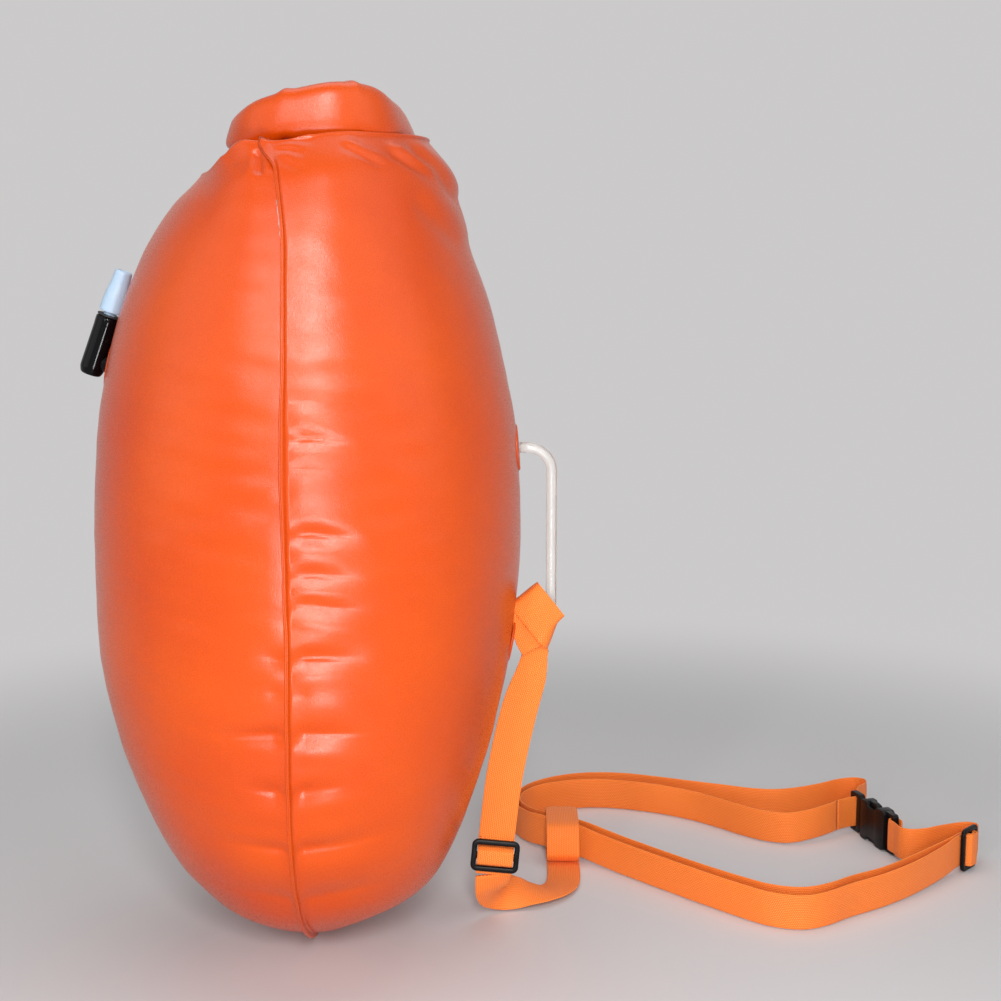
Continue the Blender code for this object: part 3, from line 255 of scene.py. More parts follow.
def round_corners(profile, radius, steps=4):
    """A closed profile with each corner replaced by a short curve between two points that
    lie a radius before and after it (a quadratic with the corner as its handle)."""
    profile = np.asarray(profile, float)
    before = np.roll(profile, 1, axis=0) - profile
    after = np.roll(profile, -1, axis=0) - profile
    a, b = (profile + unit(leg) * np.minimum(radius, 0.45 * np.linalg.norm(leg, axis=1, keepdims=True))
            for leg in (before, after))
    t = np.linspace(0, 1, steps)[None, :, None]
    curve = (1 - t) ** 2 * a[:, None] + 2 * t * (1 - t) * profile[:, None] + t**2 * b[:, None]
    return curve.reshape(-1, 2)


def circle(radius, sides):
    """The outline of a round wire or rod."""
    turn = np.linspace(0, 2 * math.pi, sides, endpoint=False)
    return radius * np.stack([np.cos(turn), np.sin(turn)], 1)


# %% [markdown]
# ## Noise without a texture
# Wrinkles need a smooth random field that is the same on every run. A sum of sine waves
# with seeded directions and phases gives one, with no grid to line up with.

# %% Seeded waves
def waves(points, size, seed, count=10):
    """The mean of count sine waves of about the given size, each with its own direction
    and phase; about -1 to 1."""
    rng = np.random.default_rng(seed)
    direction = unit(rng.normal(size=(count, 3))) * (2 * math.pi / size) * rng.uniform(0.7, 1.4, (count, 1))
    phase = rng.uniform(0, 2 * math.pi, count)
    total = np.zeros(np.shape(points)[:-1])
    for d, p in zip(direction, phase):
        total += np.sin(points @ d + p)
    return total / math.sqrt(count)


# %% [markdown]
# ## Materials
# The film is glossy PVC with a fine grain that breaks up its highlights, so a noise far
# finer than a millimetre drives both bump and roughness. The webbing is a plain weave of
# thick polyester yarn: ribs 1.3 mm apart along the strap, crossed by picks every 1.5 mm.

# %% Node helpers
def new_material(name, colour, roughness):
    """A material's node tree and its shader, with colour and roughness set."""
    material = bpy.data.materials.new(name)
    material.use_nodes = True
    shader = material.node_tree.nodes["Principled BSDF"]
    shader.inputs["Base Color"].default_value = (*colour, 1)
    shader.inputs["Roughness"].default_value = roughness
    print(f"material {name}: colour {colour}, roughness {roughness}")
    return material, material.node_tree, shader


def feed(tree, socket, value):
    """A socket linked to another, or set to a value."""
    if isinstance(value, bpy.types.NodeSocket):
        tree.links.new(value, socket)
    else:
        socket.default_value = value


def node(tree, kind, **inputs):
    """A node with its named inputs fed; Vector_Type names the input Vector Type."""
    made = tree.nodes.new("ShaderNode" + kind)
    for key, value in inputs.items():
        feed(tree, made.inputs[key.replace("_", " ")], value)
    return made


def maths(tree, operation, a, b=0.0, c=0.0):
    """One sum of up to three values or sockets."""
    made = tree.nodes.new("ShaderNodeMath")
    made.operation = operation
    for socket, value in zip(made.inputs, (a, b, c)):
        feed(tree, socket, value)
    return made.outputs[0]


def noise(tree, vector, scale, detail):
    """A smooth random field, about 0 to 1, with scale cells in a metre."""
    return node(tree, "TexNoise", Vector=vector, Scale=scale, Detail=detail).outputs["Fac"]


def ramp(tree, factor, stops):
    """Colours between (place, colour) stops."""
    made = node(tree, "ValToRGB", Fac=factor)
    while len(made.color_ramp.elements) < len(stops):
        made.color_ramp.elements.new(0.5)
    for element, (at, colour) in zip(made.color_ramp.elements, stops):
        element.position = at
        element.color = (*colour, 1)
    return made.outputs["Color"]


def shade(colour, shares):
    """A colour with each of its three values times a share, at most 1."""
    return tuple(min(c * k, 1) for c, k in zip(colour, shares))


def bumped(tree, shader, height, strength, distance):
    """The shader's normal bent by a height; the distance is the relief in metres."""
    bump = node(tree, "Bump", Height=height, Strength=strength, Distance=distance)
    tree.links.new(bump.outputs["Normal"], shader.inputs["Normal"])


# %% PVC film
def film_material(name, colour, roughness):
    """Glossy film: colour drifts a little over some centimetres, and a grain of 0.5 mm
    drives bump and roughness."""
    material, tree, shader = new_material(name, colour, roughness)
    place = node(tree, "TexCoord").outputs["Object"]
    drift = noise(tree, place, 9.0, 3.0)
    deep, light = shade(colour, (0.93, 0.82, 0.7)), shade(colour, (1.03, 1.12, 1.3))
    feed(tree, shader.inputs["Base Color"], ramp(tree, drift, [(0.3, deep), (0.7, light)]))
    grain, soft = noise(tree, place, 1500.0, 2.0), noise(tree, place, 160.0, 3.0)
    both = maths(tree, "MULTIPLY_ADD", grain, 0.6, maths(tree, "MULTIPLY", soft, 0.4))
    feed(tree, shader.inputs["Roughness"], maths(tree, "MULTIPLY_ADD", grain, 0.16, roughness - 0.08))
    bumped(tree, shader, both, 0.5, 0.0004)
    shader.inputs["IOR"].default_value = 1.45
    return material


FILM_ORANGE = film_material("orange_pvc_film", (0.605, 0.065, 0.0003), 0.28)

# %% Webbing
RIB, PICK = 0.0013, 0.0015


def webbing_material(name, colour):
    """Plain woven webbing read from the UV map in metres: ribs run along the strap, picks
    cross it, and every other rib is half a pick out of step. The height of the weave is
    |sin(pi across / rib)| |sin(pi along / pick + pi / 2 on odd ribs)|. It drives the bump and
    the colour: painted shade in the valleys and a painted pale sheen on the tops."""
    material, tree, shader = new_material(name, colour, 0.55)
    uv = node(tree, "UVMap").outputs["UV"]
    split = node(tree, "SeparateXYZ", Vector=uv)
    across, along = split.outputs["X"], split.outputs["Y"]
    rib_turn = maths(tree, "MULTIPLY", across, math.pi / RIB)
    rib = maths(tree, "ABSOLUTE", maths(tree, "SINE", rib_turn))
    odd = maths(tree, "FLOOR", maths(tree, "MULTIPLY", across, 1 / RIB))
    turn = maths(tree, "MULTIPLY_ADD", along, math.pi / PICK, maths(tree, "MULTIPLY", odd, math.pi / 2))
    weave = maths(tree, "MULTIPLY", rib, maths(tree, "ABSOLUTE", maths(tree, "SINE", turn)))
    height = maths(tree, "MULTIPLY_ADD", noise(tree, uv, 900.0, 3.0), 0.35, weave)
    # Painted light: painted shade darkens the weave's valleys, a painted pale sheen lightens its tops.
    weave_valley_shade, light = shade(colour, (0.85, 0.55, 0.3)), shade(colour, (1.0, 1.35, 1.7))
    feed(tree, shader.inputs["Base Color"], ramp(tree, weave, [(0.08, weave_valley_shade), (0.4, colour), (0.85, light)]))
    bumped(tree, shader, height, 0.65, 0.0005)
    shader.inputs["Sheen Weight"].default_value = 0.06
    shader.inputs["Sheen Roughness"].default_value = 0.5
    return material


WEBBING_ORANGE = webbing_material("orange_webbing", (1.0, 0.225, 0.019))

# %% Plastics
def moulded_material(name, colour, roughness, grain=0.12, **more):
    """Moulded plastic: a faint mould texture in bump and roughness; more are other inputs."""
    material, tree, shader = new_material(name, colour, roughness)
    texture = noise(tree, node(tree, "TexCoord").outputs["Object"], 700.0, 3.0)
    feed(tree, shader.inputs["Roughness"], maths(tree, "MULTIPLY_ADD", texture, 0.2, roughness - 0.1))
    bumped(tree, shader, texture, grain, 0.0003)
    for key, value in more.items():
        shader.inputs[key.replace("_", " ")].default_value = value
    return material


BLACK_PLASTIC = moulded_material("black_buckle_plastic", (0.003, 0.003, 0.0035), 0.36,
                                 Specular_IOR_Level=0.18)
ELBOW_PLASTIC = moulded_material("black_elbow_plastic", (0.0015, 0.0015, 0.0022), 0.12, 0.02,
                                 Specular_IOR_Level=0.18)
MOUTHPIECE_PLASTIC = moulded_material("pale_mouthpiece", (0.44, 0.59, 0.74), 0.4, 0.02,
                                      Subsurface_Weight=0.25, Subsurface_Radius=(0.003, 0.003, 0.004))
CLEAR_ROD = moulded_material("clear_pvc_rod", (0.93, 0.91, 0.88), 0.14, 0.04,
                             Transmission_Weight=0.8, IOR=1.42)
CLEAR_FILM = moulded_material("clear_pvc_film", (0.85, 0.85, 0.83), 0.25, 0.05,
                              Transmission_Weight=0.5)
SEAL_RUBBER = moulded_material("seal_rubber", (0.02, 0.02, 0.02), 0.6)
STEEL_WIRE = moulded_material("stainless_wire", (0.55, 0.55, 0.54), 0.3, Metallic=1.0)

# %% [markdown]
# ## The webbing
# Every strap is 25 mm webbing, 1.5 mm thick, with woven edges that are a little thinner
# than its middle. The routes repeat the CAD's own points. A real strap never lies quite
# true, so its face bows by some tenths of a millimetre, most in its middle and not at its edges.

# %% Strap section and strap
STRAP_WIDTH = 0.025
STRAP_THICKNESS = 0.0015
GATHER_REACH = 0.03


def strap_outline(width=STRAP_WIDTH, thickness=STRAP_THICKNESS):
    """A closed outline: flat faces whose thickness falls off at the two woven edges."""
    u = np.sin(np.linspace(-1, 1, 11) * math.pi / 2)
    half = thickness / 2 * (1 - 0.55 * np.abs(u) ** 8)
    top = np.stack([u * width / 2, half], 1)
    bottom = np.stack([u[::-1] * width / 2, -half[::-1]], 1)
    return np.concatenate([top, bottom])


def make_strap(name, route, widths, body="bag", steps=6, width=STRAP_WIDTH,
               thickness=STRAP_THICKNESS, wander=0.0003, seed=1, gathered=0.0):
    """A strap along a route; widths are the directions of its width, and gathered is the
    share of its width that is lost where it starts. Returns piece and line."""
    route = np.asarray(route, float)
    line = smooth_line(route, steps)
    turn = smooth_line(np.broadcast_to(widths, route.shape), steps)
    across, off = line_frames(line, turn)
    outline = np.repeat(strap_outline(width, thickness)[None], len(line), axis=0)
    outline[..., 0] *= (1 - gathered * bell(run_of(line), GATHER_REACH))[:, None]
    bow = waves(line, 0.05, seed) * wander
    outline[..., 1] += bow[:, None] * (1 - (2 * outline[..., 0] / width) ** 2)
    piece = carried(name, line, across, off, outline, WEBBING_ORANGE, body)
    print(f"{name}: {line_length(line) * 1000:.0f} mm long")
    return piece, line


# %% [markdown]
# ## Adjusters
# An adjuster is a frame with a middle bar. The long strand goes up through one slot, over
# the bar and down through the other, and the strap's sewn end closes round the bar, so
# that pulling the strand through shortens the loop. Both runs are written in the
# adjuster's own directions: along the strap and off its face.

# %% How a strap runs through an adjuster
SLIDER_LENGTH = 0.023
SLIDER_RIM = 0.0042
SLIDER_THICKNESS = 0.003
SLIDER_BAR = 0.0036
SLIDER_SLOT = 0.006
CLEAR = 0.0003


def axes_of(x_axis, z_axis):
    """Three unit directions: x along the strap, y across it, z off its face."""
    x = unit(np.asarray(x_axis, float))
    y = unit(np.cross(np.asarray(z_axis, float), x))
    return np.array([x, y, np.cross(x, y)])


def placed(centre, axes, run):
    """Points given along and off an adjuster or buckle, put where it lies."""
    return [centre + axes[0] * x + axes[2] * z for x, z in run]


def threaded_run(centre, axes, lead_in, lead_out):
    """The long strand: behind the frame, up through one slot, over the bar and back."""
    behind = -(SLIDER_THICKNESS / 2 + CLEAR + STRAP_THICKNESS * 0.75)
    over = SLIDER_THICKNESS / 2 + 2 * CLEAR + STRAP_THICKNESS * 1.5
    rise = SLIDER_BAR / 2 + SLIDER_SLOT * 0.7
    crest = SLIDER_BAR / 2 + STRAP_THICKNESS
    edge = SLIDER_BAR / 2 + SLIDER_SLOT
    half = [(crest, over), (crest + STRAP_THICKNESS * 1.1, over * 0.75), (rise, over / 4), (rise, behind / 3),
            (rise + CLEAR * 2, behind * 0.8), (edge, behind), (SLIDER_LENGTH / 2, behind)]
    run = [(-SLIDER_LENGTH / 2 - lead_in, behind)] + [(-x, z) for x, z in reversed(half)] + half
    run += [(SLIDER_LENGTH / 2 + lead_out, behind)]
    return placed(centre, axes, run)


def sewn_run(centre, axes, lead_in):
    """The sewn end: up from behind the frame and once round the bar."""
    bar = SLIDER_BAR / 2 + CLEAR + STRAP_THICKNESS / 2
    top = SLIDER_THICKNESS / 2 + CLEAR + STRAP_THICKNESS / 2
    behind = -(SLIDER_THICKNESS / 2 + 2 * CLEAR + STRAP_THICKNESS * 2)
    ends = SLIDER_LENGTH / 2
    run = [(-ends - lead_in, behind), (-ends, behind), (-bar * 2, behind), (-bar * 1.2, behind * 0.65),
           (-bar, 0.0), (-bar, top / 2), (-bar * 0.93, top * 0.9), (-bar * 0.5, top * 1.05),
           (bar * 0.5, top * 1.05), (bar * 0.93, top * 0.9), (bar, top / 2), (bar, -top / 2),
           (bar * 0.9, -top), (bar * 0.4, -top * 1.12), (-bar * 0.2, -top * 1.12)]
    return placed(centre, axes, run)


# %% [markdown]
# ## Tether, first of the cords
# Two layers come down from the knot on the handle to the adjuster. Below it a single
# layer turns over, touches the floor and runs flat to the keeper round the belt.

# %% Tether straps
TENTHS = 10000  # route tables are in tenths of a millimetre
TETHER_SLIDER_CENTRE = np.array([0.124, 0.0, 0.054])
TETHER_ROUTE = np.array([
    (1520, -12, 2027), (1485, -18, 1850), (1420, -20, 1650), (1370, -20, 1450), (1328, -18, 1250),
    (1294, -10, 1050), (1268, 0, 850),
]) / TENTHS
LAYER_STEP = np.array([0, 0.0022, 0])
tether_axes = axes_of(TETHER_SLIDER_CENTRE - TETHER_ROUTE[-1], (0, -1, 0))
INTO_THE_KNOT = [(0.1545, -0.005, 0.2145), (0.153, -0.0046, 0.208)]
outer_route = INTO_THE_KNOT + list(TETHER_ROUTE[:-1] - LAYER_STEP / 2) + threaded_run(
    TETHER_SLIDER_CENTRE, tether_axes, SLIDER_LENGTH / 6, SLIDER_LENGTH / 8)
inner_route = list(TETHER_ROUTE[:-1] + LAYER_STEP / 2) + sewn_run(
    TETHER_SLIDER_CENTRE, tether_axes, SLIDER_LENGTH / 6)
TETHER_WIDTH = (1, 0, -0.1)
tether_outer, tether_outer_line = make_strap("tether_outer_layer", outer_route, TETHER_WIDTH, None,
                                             seed=3, gathered=0.42)
tether_inner, tether_inner_line = make_strap("tether_inner_layer", inner_route, TETHER_WIDTH, None,
                                             seed=4, gathered=0.3)
stand_for((tether_outer, "tether_strap_outer"), (tether_inner, "tether_strap_inner"))

# %% Loop to the keeper
LOOP_ROUTE = np.array([
    (1226.5, 30, 392), (1220, 100, 265), (1238, 220, 180), (1300, 345, 140), (1410, 440, 110),
    (1540, 510, 80), (1660, 620, 50), (1730, 780, 28), (1755, 970, 14), (1760, 1180, 11),
    (1760, 1315, 11),
]) / TENTHS
LOOP_WIDTHS = np.array([
    (0.95, 0.1, 0.1), (0.9, 0.35, 0.1), (0.7, 0.35, 0.5), (0.25, 0.35, 0.7),
    (-0.1, 0.65, 0.55), (-0.35, 0.85, 0.25), (-0.75, 0.65, 0.05), (-0.95, 0.3, 0.0),
    (-1.0, 0.08, 0.0), (-1.0, 0.0, 0.0), (-1.0, 0.0, 0.0),
])
KEEPER_X = 0.176
KEEPER_ROUTE = np.array([
    (KEEPER_X, y, z) for y, z in (
        (0.1275, 0.0034), (0.1232, 0.0085), (0.124, 0.015), (0.1285, 0.0235), (0.135, 0.0294),
        (0.15, 0.0304), (0.164, 0.0304), (0.175, 0.0294), (0.1828, 0.0225), (0.184, 0.011),
        (0.1815, 0.004), (0.177, 0.0012), (0.165, 0.0011), (0.15, 0.0011), (0.132, 0.0011))
])
loop_strap, loop_line = make_strap("tether_lower_strap", LOOP_ROUTE, LOOP_WIDTHS, seed=5)
keeper, _ = make_strap("belt_keeper", KEEPER_ROUTE, (1, 0, 0), seed=6)
stand_for((loop_strap, "tether_loop"), (keeper, "keeper_loop"))

# %% Buckle sizes as shares of the webbing
EDGE_GAP = 0.0006
BUCKLE = {
    "half_height": 0.64, "bar": 0.14, "slot": 0.26, "frame_end": 0.7, "frame_thickness": 0.18,
    "guide_half": 0.1, "guide_end": 1.84, "guide_thickness": 0.1, "prong_start": 0.712,
    "prong_half": 0.34, "prong_width": 0.12, "prong_thickness": 0.168, "barb_start": 1.23,
    "barb_outer": 0.665, "barb_inner": 0.48, "prong_end": 1.78, "mouth": 0.86, "collar_end": 1.2,
    "cavity_half": 0.585, "cavity_thickness": 0.22, "cavity_end": 1.94, "waist_half": 0.5,
    "rear_wall": 1.84, "housing_end": 2.32, "housing_thickness": 0.4, "housing_bar": 2.6, "rim": 0.11,
}
FEMALE_BAR = BUCKLE["housing_bar"] + BUCKLE["bar"] / 2


def buckle_sizes(webbing):
    """Every share of the table times the webbing's width."""
    return {key: share * webbing for key, share in BUCKLE.items()}

# %% [markdown]
# ## The waist belt
# The belt stands on its edge on the floor, doubled, and is lifted a little where the
# keeper passes under it and where the buckle and the adjuster are taller than the strap.

# %% Belt strands
KEEPER_LIFT = 0.0022
BELT_SLIDER_CENTRE = np.array([0.487, 0.118, CLEAR + STRAP_WIDTH / 2 + SLIDER_RIM])
belt_axes = axes_of((0.66, 0.75, 0), (0.75, -0.66, 0))
WAIST_END = np.array([0.417, 0.2125, CLEAR + BUCKLE["half_height"] * STRAP_WIDTH])
waist_axes = axes_of((0.299, -0.954, 0), (-0.954, -0.299, 0))


def belt_points(table):
    """A table of x and y in tenths of a millimetre, and of the belt's lift in tenths of the
    keeper's, as points of the belt's middle line."""
    table = np.asarray(table, float)
    height = CLEAR + STRAP_WIDTH / 2 + table[:, 2:] / 10 * KEEPER_LIFT
    return np.concatenate([table[:, :2] / TENTHS, height], 1)


BELT_OUTER = (
    (4600, 910, 13), (4330, 640, 5), (4060, 420, 1), (3780, 230, 0), (3560, 60, 0), (3380, 0, 0),
    (3180, 60, 0), (2990, 220, 0), (2670, 550, 0), (2240, 1020, 0), (2050, 1230, 3), (1890, 1390, 10),
    (1760, 1500, 10), (1630, 1620, 10), (1500, 1770, 3), (1410, 1960, 0), (1390, 2140, 0),
    (1430, 2330, 0), (1550, 2540, 0), (1760, 2710, 0), (2010, 2800, 0), (2320, 2790, 0), (2640, 2680, 0),
    (2900, 2570, 0), (3150, 2470, 0), (3370, 2380, 0), (3560, 2350, 0), (3760, 2400, 0), (3960, 2490, 2),
    (4140, 2590, 5), (4280, 2610, 8), (4350, 2540, 11), (4335, 2440, 13), (4270, 2345, 15),
    (4225, 2253, 16),
)
BELT_INNER = (
    (4595, 985, 13), (4350, 780, 5), (4090, 560, 1), (3820, 390, 0), (3620, 240, 0), (3430, 160, 0),
    (3230, 200, 0), (3040, 340, 0), (2710, 660, 0), (2290, 1120, 0), (2100, 1330, 3), (1940, 1480, 10),
    (1810, 1590, 10), (1680, 1690, 10), (1550, 1830, 3), (1460, 1990, 0), (1440, 2140, 0),
    (1480, 2300, 0), (1600, 2460, 0), (1820, 2580, 0), (2090, 2620, 0), (2360, 2570, 0), (2640, 2450, 0),
    (2880, 2290, 0), (3070, 2110, 0), (3240, 1930, 0), (3400, 1790, 2), (3570, 1720, 5), (3740, 1770, 9),
    (3900, 1870, 13), (4007, 1956.5, 16),
)
FEMALE_TAB = (
    (4947, 1312, 16), (4978, 1350, 16), (4985, 1395, 16), (4945, 1430, 16), (4860, 1425, 16),
    (4700, 1360, 16), (4560, 1290, 16), (4440, 1270, 16), (4372, 1315, 16),
)
MALE_WRAP = ((0.011, 0.02), (0.0085, 0.013), (0.007, 0.006), (0.0064, 0.0000), (0.005, -0.0032),
             (0.0015, -0.0042), (-0.004, -0.0056), (-0.01, -0.0088))


def bar_wrap(centre, axes, at, toward, lead):
    """A sewn loop round a buckle's bar, in the buckle's own directions."""
    reach = STRAP_THICKNESS * 2.7
    off = STRAP_THICKNESS * 2.6
    run = [(at - toward * lead, off), (at, off), (at + toward * reach * 0.75, off * 0.88),
           (at + toward * reach, 0.0), (at + toward * reach * 0.75, -off * 0.88), (at, -off),
           (at - toward * lead * 0.6, -off)]
    return placed(centre, axes, run)


main_run = threaded_run(BELT_SLIDER_CENTRE, belt_axes, SLIDER_LENGTH / 4, SLIDER_LENGTH / 8)
sewn_end = sewn_run(BELT_SLIDER_CENTRE, belt_axes, SLIDER_LENGTH / 4)
outer_route = list(belt_points(BELT_OUTER)[::-1]) + main_run
inner_route = list(belt_points(BELT_INNER)[::-1]) + sewn_end
tab_end = bar_wrap(WAIST_END, waist_axes, FEMALE_BAR * STRAP_WIDTH, -1, STRAP_WIDTH / 4)
tab_route = list(belt_points(FEMALE_TAB)) + tab_end
wrap_route = placed(WAIST_END, waist_axes, MALE_WRAP)
UPRIGHT = (0, 0, 1)
LONG = {"steps": 5, "wander": 0.0005}
belt_outer, belt_outer_line = make_strap("belt_outer_layer", outer_route, UPRIGHT, seed=7, **LONG)
belt_inner, belt_inner_line = make_strap("belt_inner_layer", inner_route, UPRIGHT, seed=8, **LONG)
belt_tab, _ = make_strap("belt_buckle_tab", tab_route, UPRIGHT, seed=9)
belt_wrap, _ = make_strap("belt_male_loop", wrap_route, UPRIGHT, body="waist_male", seed=10)
stand_for((belt_outer, "belt_outer"), (belt_inner, "belt_inner"), (belt_tab, "belt_female_tab"),
          (belt_wrap, "belt_male_wrap"))

# %% [markdown]
# ## Adjuster frames and buckles
# Both adjusters and both buckles are injection moulded. Their outlines are drawn flat
# with rounded corners and given a thickness with a bevel, which is how such a mould is
# cut, and the slots are holes in the outline, not boxes cut out afterwards.

# %% Moulded plates
def rounded_box(low, high, radius, steps):
    """The outline of a rectangle with a quarter circle at each corner, counter-clockwise."""
    (x0, y0), (x1, y1) = low, high
    corners = []
    for x, y, start in ((x1 - radius, y1 - radius, 0), (x0 + radius, y1 - radius, 90),
                        (x0 + radius, y0 + radius, 180), (x1 - radius, y0 + radius, 270)):
        angle = np.radians(np.linspace(start, start + 90, steps))
        corners.append(np.stack([x + radius * np.cos(angle), y + radius * np.sin(angle)], 1))
    return np.concatenate(corners)


def moulded_plate(name, outline, holes, low, high, place, bevel=0.0, material=BLACK_PLASTIC):
    """A flat outline with holes, filled between its rings, from low to high along the third
    axis. The place is its centre, axes and body; the bevel rounds the edges like a mould's."""
    centre, axes, body = place
    work = bmesh.new()
    rings = []
    for ring in [outline, *holes]:
        corners = [work.verts.new((float(x), float(y), low)) for x, y in ring]
        rings += [work.edges.new((a, b)) for a, b in zip(corners, corners[1:] + corners[:1])]
    bmesh.ops.triangle_fill(work, edges=rings, use_beauty=True, use_dissolve=False)
    grown = bmesh.ops.extrude_face_region(work, geom=list(work.faces), use_keep_orig=True)
    top = [v for v in grown["geom"] if isinstance(v, bmesh.types.BMVert)]
    bmesh.ops.translate(work, verts=top, vec=(0, 0, high - low))
    bmesh.ops.recalc_face_normals(work, faces=work.faces)
    turn = Matrix(axes.T.tolist()).to_4x4()
    turn.translation = Vector(framed(centre))
    work.transform(turn)
    mesh = bpy.data.meshes.new(name)
    work.to_mesh(mesh)
    work.free()
    mesh.materials.append(material)
    piece = add_object(name, mesh)
    if bevel:
        edge = piece.modifiers.new("mould_edge", "BEVEL")
        edge.width = bevel
        edge.segments = 2
        edge.limit_method = "ANGLE"
        edge.angle_limit = math.radians(40)
    mesh.shade_smooth()
    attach(piece, body)
    print(f"{name}: moulded, {(high - low) * 1000:.2f} mm thick, on {body}")
    return piece


# %% Adjusters
def make_slider(name, *place):
    """The frame with a slot on each side of its bar."""
    half = STRAP_WIDTH / 2 + SLIDER_RIM
    frame_ring = rounded_box((-SLIDER_LENGTH / 2, -half), (SLIDER_LENGTH / 2, half), 0.0045, 7)
    inner = STRAP_WIDTH / 2 + 2 * CLEAR
    holes = []
    for side in (-1, 1):
        near, far = sorted((side * SLIDER_BAR / 2, side * (SLIDER_BAR / 2 + SLIDER_SLOT)))
        holes.append(rounded_box((near, -inner), (far, inner), 0.0012, 4))
    return moulded_plate(name, frame_ring, holes, -SLIDER_THICKNESS / 2, SLIDER_THICKNESS / 2, place, 0.0007)


tether_slider = make_slider("tether_adjuster_frame", TETHER_SLIDER_CENTRE, tether_axes, "tether_adjuster")
belt_slider = make_slider("belt_adjuster_frame", BELT_SLIDER_CENTRE, belt_axes, "belt_adjuster")
stand_for((tether_slider, "tether_slider", "black_plastic"), (belt_slider, "belt_slider", "black_plastic"))

# %% [markdown]
# ## Side-release buckles
# The male half carries two spring arms with barbs and a centre guide, the female half is
# a box that is open at its mouth and at both sides, so that a thumb and a finger can
# press the barbs in. The moulds round every outer edge, so each outline is drawn with
# arcs and bevelled before the box's hollows are cut.

# %% Buckle pieces
def bake(piece):
    """The piece with its modifiers worked into its mesh; the cutters go."""
    bpy.context.view_layer.update()
    whole = piece.evaluated_get(bpy.context.evaluated_depsgraph_get())
    mesh = bpy.data.meshes.new_from_object(whole)
    others = [m.object for m in piece.modifiers if m.type == "BOOLEAN"]
    piece.modifiers.clear()
    piece.data = mesh
    mesh.shade_smooth()
    mesh.set_sharp_from_angle(angle=math.radians(32))
    for other in others:
        bpy.data.objects.remove(other)
    return piece


def combine(piece, other, operation="UNION"):
    """Joins the other piece to this one, or cuts it away."""
    change = piece.modifiers.new(operation.lower(), "BOOLEAN")
    change.operation = operation
    change.object = other
    change.solver = "EXACT"


def mirrored(half_outline, radius):
    """Half an outline and its mirror image as one, with its corners rounded."""
    return round_corners(list(half_outline) + [(x, -y) for x, y in reversed(half_outline)], radius)


def make_male(prefix, webbing, *place):
    """Frame with its bar and slot, and the centre guide."""
    b = buckle_sizes(webbing)
    thick, soft, end = b["frame_thickness"] / 2, b["rim"] / 2, b["frame_end"]
    neck = b["prong_half"] + b["prong_width"]
    outline = mirrored([(0, b["half_height"] - soft), (soft, b["half_height"]),
                        (end - b["rim"], b["half_height"]), (end, neck)], b["rim"] * 0.7)
    inner = webbing / 2 + EDGE_GAP
    slot = rounded_box((b["bar"], -inner), (b["bar"] + b["slot"], inner), 0.0008, 4)
    male = moulded_plate(prefix + "_male_frame", outline, [slot], -thick, thick, place, webbing * 0.022)
    half, tip, thick = b["guide_half"], b["guide_end"], b["guide_thickness"] / 2
    guide = mirrored([(end - b["rim"] * 0.6, half * 1.6), (tip - half, half), (tip, 0.0001)], half * 0.5)
    combine(male, moulded_plate("guide", guide, [], -thick, thick, place))
    return bake(male)


def make_prong(prefix, webbing, centre, axes, body, up):
    """One spring arm: it thins toward its root, and its barb's back edge slopes."""
    b = buckle_sizes(webbing)
    root, inner, width, barb, end = (b[key] for key in (
        "prong_start", "prong_half", "prong_width", "barb_start", "prong_end"))
    outer, shoulder, mid = inner + width, b["cavity_half"] - EDGE_GAP, (root + barb) / 2
    outline = [(root, inner), (mid, inner + width * 0.3), (barb, b["barb_inner"] - width / 4),
               (end - width, b["barb_inner"]), (end, b["barb_inner"] + width / 2),
               (end - width / 2, b["barb_outer"] - width / 3), (end - width * 2, b["barb_outer"]),
               (barb, b["barb_outer"]), (barb, shoulder), (mid, (outer + shoulder) / 2), (root, outer)]
    outline = round_corners([(x, y * up) for x, y in outline], width * 0.28)
    thick = b["prong_thickness"] / 2
    return bake(moulded_plate(prefix + ("_upper_prong" if up > 0 else "_lower_prong"), outline, [],
                              -thick, thick, (centre, axes, body), webbing * 0.018))


def make_female(prefix, webbing, *place):
    """The housing with its hollow, open sides and tail with the second bar."""
    b = buckle_sizes(webbing)
    half, wall, waist, mouth, soft, collar, rear, tail_start = (b[key] for key in (
        "half_height", "housing_thickness", "waist_half", "mouth", "rim", "collar_end", "rear_wall",
        "housing_end"))
    side = [(mouth, half - soft / 2), (mouth + soft / 2, half), (collar, half), (collar + soft, waist),
            (rear - soft, waist), (rear, half), (tail_start - soft, half), (tail_start, half - soft / 2)]
    housing = moulded_plate(prefix + "_female_housing", mirrored(side, soft * 0.6), [], -wall / 2, wall / 2,
                            place, webbing * 0.05)
    deep = b["cavity_thickness"] / 2

    def cut(x0, x1, y, depth):
        """Takes a box from -y to y out of the housing."""
        combine(housing, moulded_plate("hollow", [(x0, -y), (x1, -y), (x1, y), (x0, y)], [],
                                       -depth, depth, place), "DIFFERENCE")

    cut(mouth - soft, b["cavity_end"], b["cavity_half"], deep)
    cut(collar, rear, half + soft, deep)
    end, thick = b["housing_bar"] + b["bar"], b["frame_thickness"] / 2
    tail = mirrored([(tail_start - soft, half), (end - soft / 2, half), (end, half - soft / 2)], soft * 0.5)
    combine(housing, moulded_plate("tail", tail, [], -thick, thick, place))
    cut(tail_start + 0.0003, b["housing_bar"], webbing / 2 + EDGE_GAP, half)
    return bake(housing)


def make_buckle(word, prong_node, webbing, centre, axes):
    """Male frame, upper and lower prong and housing; the bodies start with the word."""
    name = word + "_buckle"
    pieces = [make_male(name, webbing, centre, axes, word + "_male"),
              make_prong(name, webbing, centre, axes, word + "_upper", 1),
              make_prong(name, webbing, centre, axes, word + "_lower", -1),
              make_female(name, webbing, centre, axes, "bag")]
    nodes = (name + "_male", prong_node + "_upper", prong_node + "_lower", name + "_female")
    stand_for(*((piece, cad_node, "black_plastic") for piece, cad_node in zip(pieces, nodes)))
    return pieces


